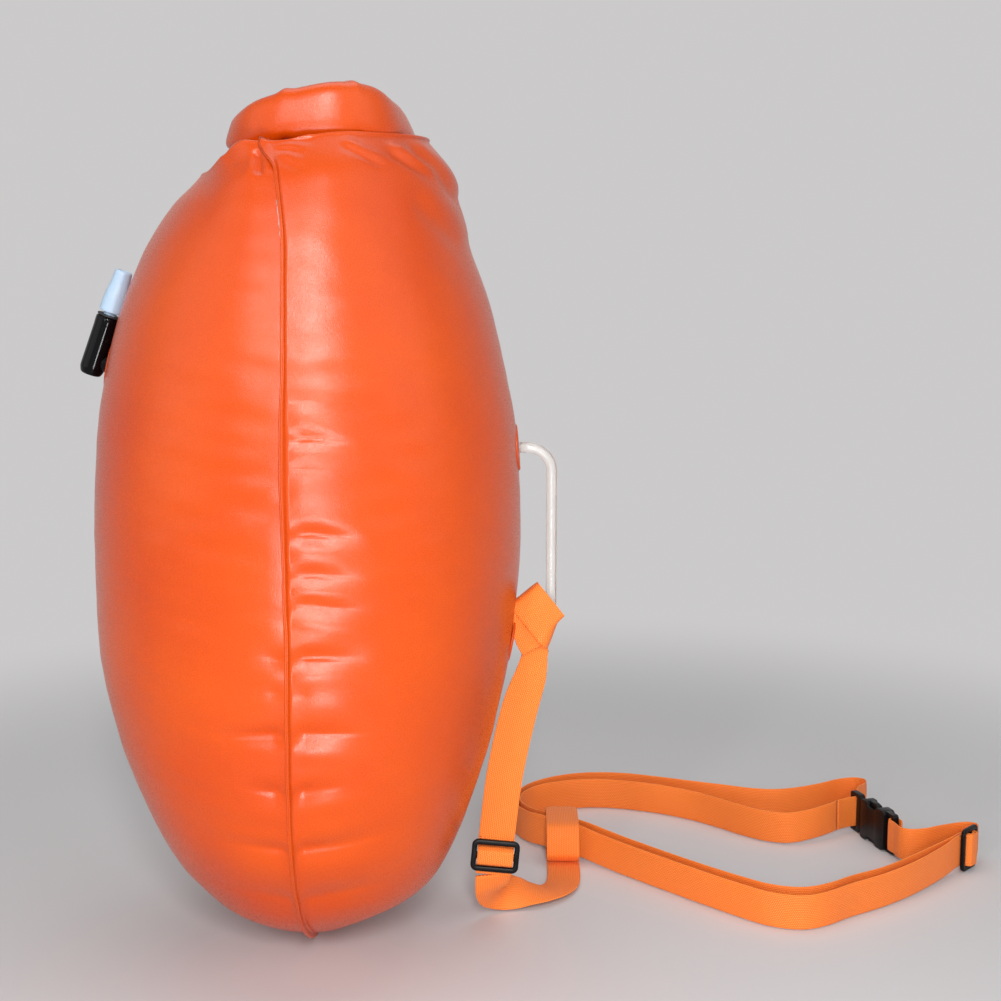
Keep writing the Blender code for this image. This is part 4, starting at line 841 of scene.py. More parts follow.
waist_male, *waist_prongs, waist_female = make_buckle(
    "waist", "waist_prong", STRAP_WIDTH, WAIST_END, waist_axes)

# %% Roll buckle
TAB_WIDTH = 0.02
ROLL_BUCKLE_X = -0.043
ROLL_BASE, ROLL_HEIGHT = 0.5375, 0.036
ROLL_SAG = np.array([0.006, 0, -0.0076])
ROLL_LEAN_SHARE, ROLL_DROP_SHARE = 0.35, 0.3
ROLL_OPEN_HALF_ANGLE = 32.0
roll_length = (BUCKLE["housing_bar"] + BUCKLE["bar"]) * TAB_WIDTH
end_drop = 1 - ROLL_DROP_SHARE * math.cos(math.radians(180 - ROLL_OPEN_HALF_ANGLE)) ** 2
ROLL_END = np.array([ROLL_BUCKLE_X, -roll_length / 2, ROLL_BASE + ROLL_HEIGHT / 2 * end_drop]) + ROLL_SAG
roll_axes = axes_of((0, 1, 0), (1, 0, 0))
make_buckle("roll", "roll_buckle_prong", TAB_WIDTH, ROLL_END, roll_axes)

# %% [markdown]
# ## Which of them are cords
# The long straps are limp webbing. Each one's measured line is put over the floor and
# turned to start at a given end; nothing further is made from it.

# %% Cords
def declare_cord(line, exit_at):
    """The strap's line over the floor, turned to start at the given end; nothing is made from it."""
    line = framed(line if exit_at == 0 else line[::-1])


declare_cord(tether_outer_line, 0)
declare_cord(tether_inner_line, 0)
declare_cord(loop_line, 0)
declare_cord(belt_outer_line, -1)
declare_cord(belt_inner_line, -1)

# %% [markdown]
# ## The bag's film
# Two panels are welded to each other along both sides and at the pointed foot, with the
# divider between them, and are blown up. Blown film hardly stretches, so its edges have
# to pucker: that is where the creases beside the seam come from. A cloth simulation with
# pressure would find some creases, but not those of this bag. So the smooth form is
# written down as heights, depths and widths, and every crease is a line drawn on the
# photo and pressed into the film where the camera sees it.

# %% The form of the two panels
FILM = 0.001
WELD_HALF = 0.0006
WELD_FLANGE = 0.005
BODY_HEIGHT = 0.53
BODY_HALF_WIDTH = 0.14
TIP_HALF_WIDTH = 0.008
SECTION_POWER = 0.94
HEIGHT_SHARES = (0.0, 0.018, 0.055, 0.11, 0.185, 0.28, 0.4, 0.52, 0.64, 0.76, 0.87, 0.945, 0.985)
DEPTH_SHARES = {
    -1: (0.0, 0.26, 0.55, 0.735, 0.865, 0.955, 0.995, 1.0, 0.975, 0.895, 0.755, 0.615, 0.475),
    1: (0.0, 0.21, 0.45, 0.585, 0.7, 0.84, 0.965, 1.0, 0.98, 0.9, 0.8, 0.74, 0.62),
}
DEPTH = {-1: 0.1415, 1: 0.1395}
HALF_WIDTH_SHARES = (0.06, 0.27, 0.5, 0.7, 0.87, 0.965, 1.0, 1.0, 0.985, 0.95, 0.88, 0.79, 0.7)
RING_CENTRE_X = 0.009
RING_HALF_X = BODY_HALF_WIDTH * 0.33
RING_HALF_Y = BODY_HALF_WIDTH * 0.56
RING_POWER = 3.0
MOUTH_HALF_ANGLE = 90.0
MOUTH_CLEARANCE = 0.0022


def curve_through(knots, values, at):
    """A cubic between each two knots whose slopes there are the harmonic mean of the two
    stretches' slopes, and none where the curve turns, so it never overshoots."""
    knots, values = np.asarray(knots, float), np.asarray(values, float)
    step = np.diff(knots)
    slope = np.diff(values) / step
    tangent = np.zeros(len(knots))
    tangent[0], tangent[-1] = slope[0], slope[-1]
    rising = slope[:-1] * slope[1:] > 0
    mean = 2 * slope[:-1] * slope[1:] / np.where(rising, slope[:-1] + slope[1:], 1)
    tangent[1:-1] = np.where(rising, mean, 0)
    at = np.clip(np.asarray(at, float), knots[0], knots[-1])
    k = np.clip(np.searchsorted(knots, at, side="right") - 1, 0, len(step) - 1)
    t = (at - knots[k]) / step[k]
    return ((2 * t**3 - 3 * t**2 + 1) * values[k] + (t**3 - 2 * t**2 + t) * step[k] * tangent[k]
            + (3 * t**2 - 2 * t**3) * values[k + 1] + (t**3 - t**2) * step[k] * tangent[k + 1])


def ring_place(angle, grow=0.0):
    """A point of the mouth ring, a superellipse; 0 degrees is the handle's side."""
    c, s = np.cos(np.radians(angle)), np.sin(np.radians(angle))
    x = RING_CENTRE_X + (RING_HALF_X + grow) * np.sign(c) * np.abs(c) ** (2 / RING_POWER)
    return x, (RING_HALF_Y + grow) * np.sign(s) * np.abs(s) ** (2 / RING_POWER)


def film_point(side, share, across):
    """A point of the panel: its section is nearly an ellipse of that height's depth and
    half width, and across runs from -1 at the near seam to 1 at the far one."""
    depth = DEPTH[side] * curve_through(HEIGHT_SHARES, DEPTH_SHARES[side], share)
    half = BODY_HALF_WIDTH * curve_through(HEIGHT_SHARES, HALF_WIDTH_SHARES, share)
    turn = np.asarray(across) * math.pi / 2
    x = side * (WELD_HALF + FILM + depth * np.maximum(np.cos(turn), 0) ** SECTION_POWER)
    return np.stack(np.broadcast_arrays(x, half * np.sin(turn), WELD_FLANGE + BODY_HEIGHT * share), -1)


def film_rows(side, across, row_shares, neck_rows):
    """The panel's outer face: rows up to the shoulders, then rows that close in on the mouth."""
    share = row_shares[:, None]
    body = film_point(side, share, across[None, :])
    x, y = ring_place(across * MOUTH_HALF_ANGLE, side * (WELD_HALF + FILM))
    top = np.stack([x, y, np.full_like(x, ROLL_BASE - MOUTH_CLEARANCE)], -1)
    t = (np.arange(1, neck_rows + 1) / neck_rows)[:, None, None]
    ease = smoothstep(t, 0, 1)
    neck = body[-1] * (1 - ease) + top * ease
    neck[..., 2] = body[-1, :, 2] + (top[:, 2] - body[-1, :, 2]) * np.sin(t[..., 0] * math.pi / 2)
    return np.concatenate([body, neck])


# %% [markdown]
# ## Creases where the photo has them
# Each vertex is projected into the picture. A crease is a line of picture points; a
# vertex's distance from it, in pixels, gives a groove with a ridge on one side, both
# fading out at the line's ends. The far side gets the same kind of creases, seeded.

# %% Projection and creases
def pixel_of(points):
    """Where the camera sees points over the floor."""
    rel = points - EYE
    forward = rel[..., 1] * math.cos(PITCH) - rel[..., 2] * math.sin(PITCH)
    up = rel[..., 1] * math.sin(PITCH) + rel[..., 2] * math.cos(PITCH)
    return IMAGE_PX / 2 + FOCAL_PX * np.stack([rel[..., 0], -up], -1) / forward[..., None]


def line_field(at, line):
    """Signed distance from a line of points (left of its direction is positive) and how far
    along the line, as a share of its length, the nearest point lies."""
    line = np.asarray(line, float)
    run = run_of(line)
    lengths = np.linalg.norm(np.diff(line, axis=0), axis=1)
    best = np.full(at.shape[:-1], np.inf)
    signed = np.zeros(at.shape[:-1])
    share = np.zeros(at.shape[:-1])
    for a, b, length, start in zip(line[:-1], line[1:], lengths, run):
        d = (b - a) / length
        t = np.clip((at - a) @ d, 0, length)
        off = at - a - t[..., None] * d
        distance = np.linalg.norm(off, axis=-1)
        closer = distance < best
        best = np.where(closer, distance, best)
        signed = np.where(closer, np.sign(off[..., 0] * d[1] - off[..., 1] * d[0]) * distance, signed)
        share = np.where(closer, (start + t) / run[-1], share)
    return signed, share


def fold(at, line, depth, width, ridge):
    """A groove of the given depth along the line, fading out toward its ends. A positive
    ridge gives a plain groove with a ridge on its left. A negative one gives a gather: wide
    on the left, cut off more sharply on the right, with a faint ridge beyond."""
    distance, share = line_field(at, evenly(smooth_line(line, 6), 14))
    if ridge > 0:
        fade = np.minimum(share, 1 - share) / 0.25
        groove = -bell(distance, width)
        beside = ridge * bell(distance - 1.7 * width, 1.4 * width)
    else:
        fade = np.minimum(share / (0.25 if ridge > -0.95 else 0.42), (1 - share) / 0.5)
        sharp = 0.35 * bell(distance, 0.6 * width) + 0.65 * bell(distance, 3.0 * width)
        groove = -np.where(distance > 0, bell(distance, 2.7 * width), sharp)
        beside = -0.16 * ridge * bell(distance + 5.0 * width, 2.4 * width)
    return depth * smoothstep(fade, 0, 1) * (groove + beside)


# %% The bag's two panels
ROWS, NECK_ROWS, COLUMNS = 330, 30, 121
FILM_WALL = 0.0008
RIM_HALF, LIP_HALF = 0.00088, 0.00003
BESIDE_SEAM = 0.0035
RIGHT_ONLY_U, RIGHT_ONLY_START = 276, 250
FOLD_SCALE, GATHER_SCALE = 1000, 870  # the tables' depths to metres; gathers go deeper
# Each crease is its depth in mm, its half width in pixels, its ridge and its line of picture
# points. A line that starts at RIGHT_ONLY_U is pressed into the right panel alone.
GROOVES_SEAM = [
    (0.5, 2.6, -0.7, [(276, 357), (304, 355), (326, 357)]),
    (0.7, 2.8, -0.8, [(276, 403), (304, 401), (330, 404)]),
    (2.0, 3.2, -0.9, [(276, 441), (306, 439), (330, 441), (368, 444)]),
    (0.9, 3.0, -0.9, [(276, 471), (304, 469), (336, 473)]),
    (2.8, 3.4, -0.9, [(276, 539), (305, 535), (330, 537), (370, 541)]),
    (2.5, 3.2, -0.9, [(276, 580), (306, 576), (332, 578), (374, 582)]),
    (2.4, 3.2, -0.9, [(276, 611), (306, 607), (334, 610), (376, 613)]),
    (0.9, 3.0, -0.8, [(276, 635), (302, 633), (330, 637)]),
    (3.4, 3.6, -1.0, [(246, 656), (283, 660), (318, 659), (384, 662)]),
    (1.0, 3.2, -0.8, [(262, 692), (284, 695), (318, 698)]),
    (3.4, 3.6, -1.0, [(196, 735), (240, 738), (284, 737), (335, 736), (400, 731)]),
    (3.2, 3.8, -1.0, [(234, 787), (262, 794), (290, 797), (315, 793), (356, 784)]),
    (3.0, 3.6, -1.0, [(210, 839), (258, 851), (292, 855), (342, 847), (408, 828)]),
    (2.6, 3.6, -1.0, [(226, 887), (266, 898), (298, 904), (346, 894), (404, 874)]),
]
SHOULDER_FOLDS = [
    (3.0, 4.6, 0.4, [(256, 147), (258, 158), (259, 176)]),
    (0.9, 3.6, 0.6, [(270, 144), (290, 139), (316, 141)]),
    (0.9, 3.4, 0.6, [(270, 151), (288, 149), (306, 154)]),
    (0.8, 3.6, 0.6, [(273, 159), (286, 161), (302, 171)]),
    (1.2, 3.2, 0.9, [(337, 142), (355, 152), (387, 168)]),
    (2.2, 3.6, 0.9, [(382, 147), (398, 157), (419, 170), (441, 183)]),
    (2.4, 3.8, 0.9, [(402, 141), (420, 157), (438, 173), (451, 193), (463, 210)]),
    (1.8, 8.0, 0.8, [(408, 195), (443, 228), (464, 254)]),
    (1.6, 6.0, -0.8, [(226, 166), (236, 160), (247, 161), (254, 166)]),
]


def row_shares():
    """Heights of the film's rows as shares of the body's height: close together where a
    crease crosses the seam, wider apart elsewhere."""
    share = np.linspace(0, HEIGHT_SHARES[-1], 4000)
    height = WELD_FLANGE + BODY_HEIGHT * share
    density = np.ones(len(share)) + 1.2 * (share < 0.06)
    for _, _, _, line in GROOVES_SEAM + SHOULDER_FOLDS[:6]:
        z = seen_at(np.array(line, float), -0.12)[:, 1]
        density += 1.7 * (smoothstep(height, z.min() - 0.006, z.min() - 0.002)
                          * (1 - smoothstep(height, z.max() + 0.003, z.max() + 0.006)))
    run = np.concatenate([[0], np.cumsum(np.minimum(density, 3.4)[1:])])
    return np.interp(np.linspace(0, run[-1], ROWS), run, share)


def pucker(x):
    """A groove with a lower, wider ridge beside it: 0.6 exp(-(x - 1.8)^2 / 2) - exp(-x^2)."""
    return -np.exp(-(x**2)) + 0.6 * np.exp(-((x - 1.8) ** 2) / 2)


def seam_gather(points, seed):
    """Short creases that stand square to the seam, seeded, for the side that the photo
    doesn't show, fading with the distance from the seam."""
    rng = np.random.default_rng(seed)
    z = points[..., 2]
    from_seam = BODY_HALF_WIDTH - np.abs(points[..., 1])
    total = np.zeros(z.shape)
    for height in np.linspace(0.045, 0.475, 17) + rng.uniform(-0.009, 0.009, 17):
        reach = rng.uniform(0.018, 0.055)
        depth = rng.uniform(0.0006, 0.0022)
        slope = rng.uniform(-0.12, 0.12)
        total += depth * pucker((z - height - slope * from_seam) / 0.0035) * bell(from_seam, reach)
    return total


def mouth_gather(points, seed):
    """The far side's folds that run down from the mouth: grooves at seeded angles round the
    bag's axis, deep under the roll and gone some centimetres below it."""
    rng = np.random.default_rng(seed)
    angle = np.degrees(np.arctan2(points[..., 1], points[..., 0]))
    total = np.zeros(angle.shape)
    for middle in np.linspace(8, 172, 13) + rng.uniform(-5, 5, 13):
        width = rng.uniform(2.0, 4.0)
        slope = rng.uniform(-60, 60)
        depth = rng.uniform(0.0008, 0.0024)
        total += depth * pucker((angle - middle - slope * (0.53 - points[..., 2])) / width)
    return total * smoothstep(points[..., 2], 0.455, 0.53)


def press_creases(points, side, normal):
    """The film's points moved along their normals by every crease and by slow waves."""
    at = pixel_of(points)
    y = points[..., 1]
    move = np.zeros(points.shape[:-1])
    for depth, width, ridge, line in GROOVES_SEAM + SHOULDER_FOLDS:
        if line[0][0] == RIGHT_ONLY_U:
            if side < 0:
                continue
            line = [(RIGHT_ONLY_START, line[0][1])] + line[1:]
        move += fold(at, line, depth / (GATHER_SCALE if ridge < 0 else FOLD_SCALE), width, ridge)
    move = np.where(y < 0, move, 0)
    far = seam_gather(points, 31 + side) * smoothstep(y, 0.02, 0.07)
    far += mouth_gather(points, 35 + side) * smoothstep(y, -0.02, 0.02)
    slow = waves(points * (1, 1, 0.6), 0.11, 11) * 0.0005
    fine = waves(points * (0.4, 0.7, 1.6), 0.024, 12) * 0.00022
    fine *= 0.4 + bell(BODY_HALF_WIDTH - np.abs(y), 0.03)
    return points + normal * (move + far + slow + fine)[..., None]


def shape_shoulders(grid):
    """The blown film stands up round the roll, higher on the handle's side and sunk on the
    valve's side; the near seam leans toward the valve, and the shoulders are drawn in."""
    x, y, z = grid[..., 0], grid[..., 1], grid[..., 2]
    lift = 0.0105 - 0.0185 * smoothstep(-x, 0.012, 0.055) + 0.004 * smoothstep(x, 0.0, 0.045)
    lift = lift - 0.002 * bell(x, 0.016) * smoothstep(-y, 0.05, 0.08)
    below = smoothstep(z, 0.465, 0.527) * (1 - smoothstep(z, 0.5285, 0.5352))
    shifted = grid.copy()
    shifted[..., 2] += lift * below
    lean = -0.0055 * smoothstep(z, 0.47, 0.52) - 0.01 * smoothstep(z, 0.512, 0.538)
    lean = lean * bell(x, 0.045) * smoothstep(-y, 0.0, 0.07)
    draw = smoothstep(np.abs(x), 0.02, 0.07) * smoothstep(z, 0.43, 0.51) * (1 - smoothstep(z, 0.525, 0.5352))
    shifted[..., 0] += lean - np.where(x > 0, 0.008, -0.0025) * draw
    return shifted


def settle_low(grid):
    """The filled foot leans to the handle's side while its seams keep their place: a
    sideways shift that comes in below the middle and goes out again at the tip."""
    x, z = grid[..., 0], grid[..., 2]
    low = (1 - smoothstep(z, 0.08, 0.23)) * smoothstep(z, 0.0, 0.05)
    from_seam = smoothstep(np.abs(x), 0.004, 0.075)
    settled = grid.copy()
    settled[..., 0] += low * (0.01 * from_seam - 0.0022 * (1 - from_seam))
    return settled


def grid_normals(grid, side):
    """Unit normals of a grid of points from its two sets of differences, turned outward."""
    normal = np.cross(np.gradient(grid, axis=1), np.gradient(grid, axis=0))
    return unit(normal) * side


def panels():
    """Both panels' outer faces with their weld flanges, the flanges' inner points, and the
    shares of height and of width of the grid. The flanges share one line and one wander, so
    they lie against each other as a weld does."""
    s = np.linspace(-1, 1, COLUMNS)
    across = s + 0.09 * np.sin(math.pi * s) * (1 - np.abs(s) * 0.2)
    across = across / np.abs(across).max()
    across[1], across[-2] = across[0] + BESIDE_SEAM, across[-1] - BESIDE_SEAM
    shares = row_shares()
    grids = {}
    for side in (-1, 1):
        grid = settle_low(shape_shoulders(film_rows(side, across, shares, NECK_ROWS)))
        row = np.arange(len(grid))
        hold = smoothstep(1 - np.abs(across), 0.0, 0.012) * smoothstep(row, 0, 6)[:, None]
        hold = hold * smoothstep(len(grid) - 1 - row, 0, 8)[:, None]
        grids[side] = grid + (press_creases(grid, side, grid_normals(grid, side)) - grid) * hold[..., None]
    middle = (grids[-1] + grids[1]) / 2
    row = np.arange(len(middle))
    width = np.interp(row, (ROWS * 0.93, ROWS + 3), (WELD_FLANGE * 0.9, WELD_FLANGE / 4))
    weld = WELD_HALF * (1 - smoothstep(row, 0.95 * ROWS, 1.02 * ROWS))
    flanges, lips = {-1: [], 1: []}, {-1: [], 1: []}
    for end, away in ((0, -1.0), (-1, 1.0)):
        line = middle[:, end]
        z = line[:, 2]
        out, sideways = line_frames(line, np.broadcast_to([0, away, 0], line.shape))
        sideways = sideways * np.sign(sideways[:, :1])
        wander = waves(line, 0.035, 21 + end) * 0.0004 + waves(line, 0.12, 23 + end) * 0.0005
        wander *= smoothstep(row, 3, 20) * smoothstep(len(line) - row, 3, 25)
        tip = 0.0015 * smoothstep(z, 0.03, 0.22) * (1 - smoothstep(z, 0.42, 0.53))
        ear = bell(z - 0.5345, 0.011) * (end == 0)
        for side in (-1, 1):
            spines = []
            for k in (1.0, 0.66, 0.33):
                aside = (wander - tip) * k**1.5 - ear * 0.004 * k**2
                spines.append(line + out * (width * k)[:, None] + sideways * aside[:, None])
            grids[side][:, end] = line + sideways * (side * (weld + FILM))[:, None]
            for half, found in ((RIM_HALF, flanges), (LIP_HALF, lips)):
                strip = np.stack([spine + sideways * side * half for spine in spines], 1)
                found[side].append(strip if end == 0 else strip[:, ::-1])
    whole = {}
    for side in (-1, 1):
        body = np.concatenate([flanges[side][0], grids[side], flanges[side][1]], axis=1)
        foot = body[0].copy()
        foot[:, 0] = side * RIM_HALF
        foot[:, 1] = np.linspace(-1, 1, foot.shape[0]) * TIP_HALF_WIDTH
        foot[:, 2] = 0.0006
        whole[side] = np.concatenate([foot[None], (foot + body[0])[None] / 2, body])
    return whole, lips, shares, across


def film_shell(name, grid, side, wall, material, lips=None):
    """A closed film: the grid, the same grid one wall inward, and quads round the rim. The
    lips are the inner points of its flanges, where it is welded to the other film."""
    rows, columns = grid.shape[:2]
    inner = grid - grid_normals(grid, side) * wall
    if lips:
        inner[2:, :3], inner[2:, -3:] = lips
    quads = grid_quads(rows, columns)
    back = quads[:, ::-1] + rows * columns
    index = np.arange(rows * columns).reshape(rows, columns)
    rim = np.concatenate([index[0, :-1], index[:-1, -1], index[-1, :0:-1], index[:0:-1, 0]])
    onward = np.roll(rim, -1)
    rims = np.stack([rim, onward, onward + rows * columns, rim + rows * columns], 1)
    return make_piece(name, np.concatenate([grid.reshape(-1, 3), inner.reshape(-1, 3)]),
                      np.concatenate([quads, back, rims]), material, "bag")


panel_grids, panel_lips, panel_shares, panel_across = panels()
for word, side in (("front", -1), ("back", 1)):
    film = film_shell(word + "_film_panel", panel_grids[side], side, FILM_WALL, FILM_ORANGE, panel_lips[side])
    stand_for((film, word + "_panel", "film"))

# %% Divider inside the bag
DIVIDER_FILM = 0.0006
DIVIDER_TOP_SHARE = 0.93
DIVIDER_TURN_SHARE = 0.7
DIVIDER_DEPTH = 0.03


def make_divider():
    """The film between the air cell and the dry side. It lies between the panels' flanges,
    swells to the back by a share of a cosine squared, and near its top it crosses over to
    the front panel, where it is welded too."""
    share = np.concatenate([[0, 0], panel_shares[panel_shares <= DIVIDER_TOP_SHARE]])[:, None]
    rows = len(share)
    grid = (panel_grids[-1] + panel_grids[1])[:rows] / 2
    seams = grid[:, 3:4, 0], grid[:, -4:-3, 0]
    grid[:, 0] += (grid[:, 1] - grid[:, 0]) * 0.8
    grid[:, -1] += (grid[:, -2] - grid[:, -1]) * 0.8
    grid[0, :, 2] += 0.0016
    inside = grid[:, 3:-3]
    turn = np.cos(panel_across * math.pi / 2).clip(0)[None, :]
    ease = smoothstep(share, DIVIDER_TURN_SHARE, DIVIDER_TOP_SHARE)
    swell = DIVIDER_DEPTH * turn**2 * np.minimum(share / HEIGHT_SHARES[4], 1)
    front = panel_grids[-1][:rows, 3:-3, 0] + 0.0075 * np.minimum(turn * 6, 1)
    slack = waves(inside, 0.05, 41) * 0.0012 * turn**2
    over = (panel_across[None, :] + 1) / 2
    middle = seams[0] * (1 - over) + seams[1] * over
    crossing = (middle + swell + slack) * (1 - ease) + front * ease
    inside[..., 0] = np.where(turn < 1e-6, inside[..., 0], crossing)
    grid[..., 0] -= DIVIDER_FILM / 2
    keep_rows = np.r_[0:3, 3:rows:2]
    keep_columns = np.r_[0:4, 4 : grid.shape[1] - 4 : 2, grid.shape[1] - 4 : grid.shape[1]]
    return film_shell("divider_film", grid[keep_rows][:, keep_columns], 1, -DIVIDER_FILM, CLEAR_FILM)


stand_for((make_divider(), "divider_film"))

# %% [markdown]
# ## The rolled mouth
# The mouth is pressed flat round a stiff strip, rolled three times and bent into a ring.
# The roll is carried round the ring as one spiral of doubled film, so that its layers
# show at both ends. A roll of film never bends smoothly: it kinks, so its height and
# thickness change along the ring, most of all at the fold on the near left.

# %% Roll
ROLL_THICKNESS = 0.024
STRIP_HEIGHT = 0.02
STRIP_THICKNESS = 0.0015


def ring_frames(angles):
    """Places on the ring's middle line and the directions along, outward and up at each; at
    the two sides the roll leans inward and is pressed lower, by a cosine squared."""
    x, y = ring_place(angles)
    xa, ya = ring_place(angles - 0.5)
    xb, yb = ring_place(angles + 0.5)
    along = unit(np.stack([xb - xa, yb - ya], 1))
    out = np.stack([along[:, 1], -along[:, 0], np.zeros(len(x))], 1)
    share = np.cos(np.radians(angles))[:, None] ** 2
    high = 1 - ROLL_DROP_SHARE * share
    up = high * (0, 0, 1.0) - ROLL_LEAN_SHARE * share * out
    return np.concatenate([np.stack([x, y], 1), ROLL_BASE + ROLL_HEIGHT / 2 * high], 1), out, up, along


ROLL_TURNS, ROLL_WALL = 2.6, 0.0011
ROLL_CORE_X, ROLL_CORE_Z = 0.0022, 0.012


def spiral_outline():
    """A closed outline (across, up) of one spiral layer: a superellipse whose half sizes
    grow from the strip's to the roll's, once offset outward and once inward."""
    turns, steps, wall = ROLL_TURNS, 30, ROLL_WALL
    angle = np.linspace(0, turns * 2 * math.pi, int(turns * steps))
    grow = angle / angle[-1]
    c, s = np.cos(angle), np.sin(angle)
    half_x = ROLL_CORE_X + grow * (ROLL_THICKNESS / 2 - wall - ROLL_CORE_X)
    half_z = ROLL_CORE_Z + grow * (ROLL_HEIGHT / 2 - wall - ROLL_CORE_Z)
    centre = np.stack([half_x * np.sign(c) * np.abs(c) ** 0.55, half_z * np.sign(s) * np.abs(s) ** 0.55], 1)
    tangent = unit(np.gradient(centre, axis=0))
    normal = np.stack([tangent[:, 1], -tangent[:, 0]], 1)
    return np.concatenate([centre + normal * wall, (centre - normal * wall)[::-1]])


def make_roll():
    """The spiral carried round the ring. The roll sags toward its two ends and stands a
    little taller on the handle's side, by smooth steps of x."""
    reach = 180 - ROLL_OPEN_HALF_ANGLE
    angles = np.linspace(-reach, reach, 190)
    path, out, up, _ = ring_frames(angles)
    x = path[:, 0]
    arch = -0.0025 - 0.0085 * smoothstep(-x, -0.012, 0.04) + 0.0068 * smoothstep(x, 0.0, 0.05)
    kinks = 0.0016 * bell(angles + 97, 3.5) + 0.0012 * bell(angles + 64, 3.0)
    path[:, 0] += 0.0035 * smoothstep(x, 0.02, 0.06)
    path[:, 2] += arch * 0.72 + kinks + waves(path, 0.05, 51) * 0.0005
    outline = np.repeat(spiral_outline()[None], len(path), axis=0)
    outline[..., 1] *= (1 + arch * 0.56 / ROLL_HEIGHT)[:, None]
    place = path[:, None] + out[:, None] * outline[..., :1] + up[:, None] * outline[..., 1:]
    outline[..., 0] *= 1 + 0.03 * waves(place, 0.045, 52)
    outline[..., 1] += 0.0005 * waves(place, 0.04, 53)
    return carried("rolled_mouth", path, out, up, outline, FILM_ORANGE, "bag", uv=False)


def make_strip():
    """The stiff strip in the middle of the roll: a flat bar carried round the ring."""
    reach = 180 - ROLL_OPEN_HALF_ANGLE - 6
    path, out, up, _ = ring_frames(np.linspace(-reach, reach, 90))
    corners = np.array([(1, 1), (-1, 1), (-1, -1), (1, -1)]) * (STRIP_THICKNESS / 2, STRIP_HEIGHT / 2)
    outline = round_corners(corners, 0.0006, 3)
    return carried("mouth_stiffener_strip", path, out, up, outline, CLEAR_FILM, "bag")


stand_for((make_roll(), "roll_top", "film"), (make_strip(), "mouth_stiffener"))

# %% [markdown]
# ## Discs, handle and valve
# The handle is one bent rod of clear PVC. Its two flattened ends are welded to the back
# panel under round discs of the same film, and the valve's foot is held by a third disc.

# %% Welded discs
def film_normal(side, share, across):
    """The panel's outward normal: the cross product of its two slopes."""
    step = 0.002
    up = film_point(side, share + step, across) - film_point(side, share - step, across)
    along = film_point(side, share, across + step) - film_point(side, share, across - step)
    return unit(np.cross(along, up) * side)


def skin_point(side, height, across, off):
    """A point that stands off the panel's outer face."""
    share = (np.asarray(height, float) - WELD_FLANGE) / BODY_HEIGHT
    return film_point(side, share, across) + film_normal(side, share, across) * np.asarray(off)[..., None]


def film_disc(name, side, height, radius, thickness, hole=0.0, sides=64, rings=14):
    """A disc that follows the film: rings out from the middle, a thin edge, a weld groove
    near the rim, and the same rings back along the underside."""
    share = (height - WELD_FLANGE) / BODY_HEIGHT
    half = BODY_HALF_WIDTH * curve_through(HEIGHT_SHARES, HALF_WIDTH_SHARES, share)
    r = np.linspace(max(hole, radius * 0.02), radius, rings)
    weld = 0.00035 * bell(r - radius * 0.82, 0.0007)
    top = thickness * (1 - 0.45 * smoothstep(r, radius * 0.93, radius)) - weld
    underside = np.full(rings, CLEAR / 2)
    profile = np.concatenate([np.stack([r, top + CLEAR], 1), np.stack([r[::-1], underside], 1)])
    rr, aa = np.meshgrid(profile[:, 0], np.arange(sides) / sides * 2 * math.pi)
    across = np.arcsin(rr * np.cos(aa) / half) * 2 / math.pi
    grid = skin_point(side, height + rr * np.sin(aa), across, np.broadcast_to(profile[:, 1], rr.shape))
    columns = 2 * rings
    quads = grid_quads(sides + 1, columns, wrap=bool(hole)) % (sides * columns)
    caps = [] if hole else [np.arange(sides) * columns, np.arange(sides) * columns + columns - 1]
    return make_piece(name, grid, quads, FILM_ORANGE, "bag", caps=caps)


HANDLE_TOP, HANDLE_BOTTOM = 0.3405, 0.209
PATCH_RADIUS, PATCH_THICKNESS = 0.0155, 0.0014
VALVE_HEIGHT = 0.396
LEG_DIAMETER = 0.012
for name, cad_node, *sizes in (
    ("valve_weld_disc", "valve_flange", -1, VALVE_HEIGHT, 0.017, 0.0015, LEG_DIAMETER / 2 + 0.0006),
    ("handle_disc_upper", "handle_patch_upper", 1, HANDLE_TOP, PATCH_RADIUS, PATCH_THICKNESS),
    ("handle_disc_lower", "handle_patch_lower", 1, HANDLE_BOTTOM, PATCH_RADIUS, PATCH_THICKNESS),
):
    stand_for((film_disc(name, *sizes), cad_node, "film"))

# %% Handle rod
ROD_DIAMETER = 0.0072
HANDLE_STANDOFF = 0.021
HANDLE_BEND = 0.016


def make_handle():
    """A round rod whose middle line is the CAD's: out of the upper disc, down, back in."""
    seat = PATCH_THICKNESS + 0.0006
    high, low = skin_point(1, HANDLE_TOP, 0.0, seat), skin_point(1, HANDLE_BOTTOM, 0.0, seat + 0.0016)
    outer = skin_point(1, (HANDLE_TOP + HANDLE_BOTTOM) / 2, 0.0, 0.0)[0] + HANDLE_STANDOFF
    a = np.radians(np.linspace(90, 0, 14))
    bend_high = np.stack([outer - HANDLE_BEND + HANDLE_BEND * np.cos(a), 0 * a,
                          HANDLE_TOP - HANDLE_BEND + HANDLE_BEND * np.sin(a)], 1)
    bend_low = bend_high[::-1] * (1, 1, -1) + (0, 0, HANDLE_TOP + HANDLE_BOTTOM)
    straight = np.linspace(bend_high[-1], bend_low[0], 30)[1:-1]
    path = np.concatenate([[high], bend_high, straight, bend_low, [low]])
    along = np.gradient(path, axis=0)
    along[0], along[-1] = (1, 0, 0), (-1, 0, 0)
    along = unit(along)
    side = np.broadcast_to([0, 1.0, 0], path.shape)
    outline = circle(ROD_DIAMETER / 2, 28)
    return carried("handle_rod", path, side, np.cross(side, along), outline, CLEAR_ROD, "bag")


stand_for((make_handle(), "handle", "clear_rod"))

# %% Tabs of the roll buckle
TAB_THICKNESS = 0.0012


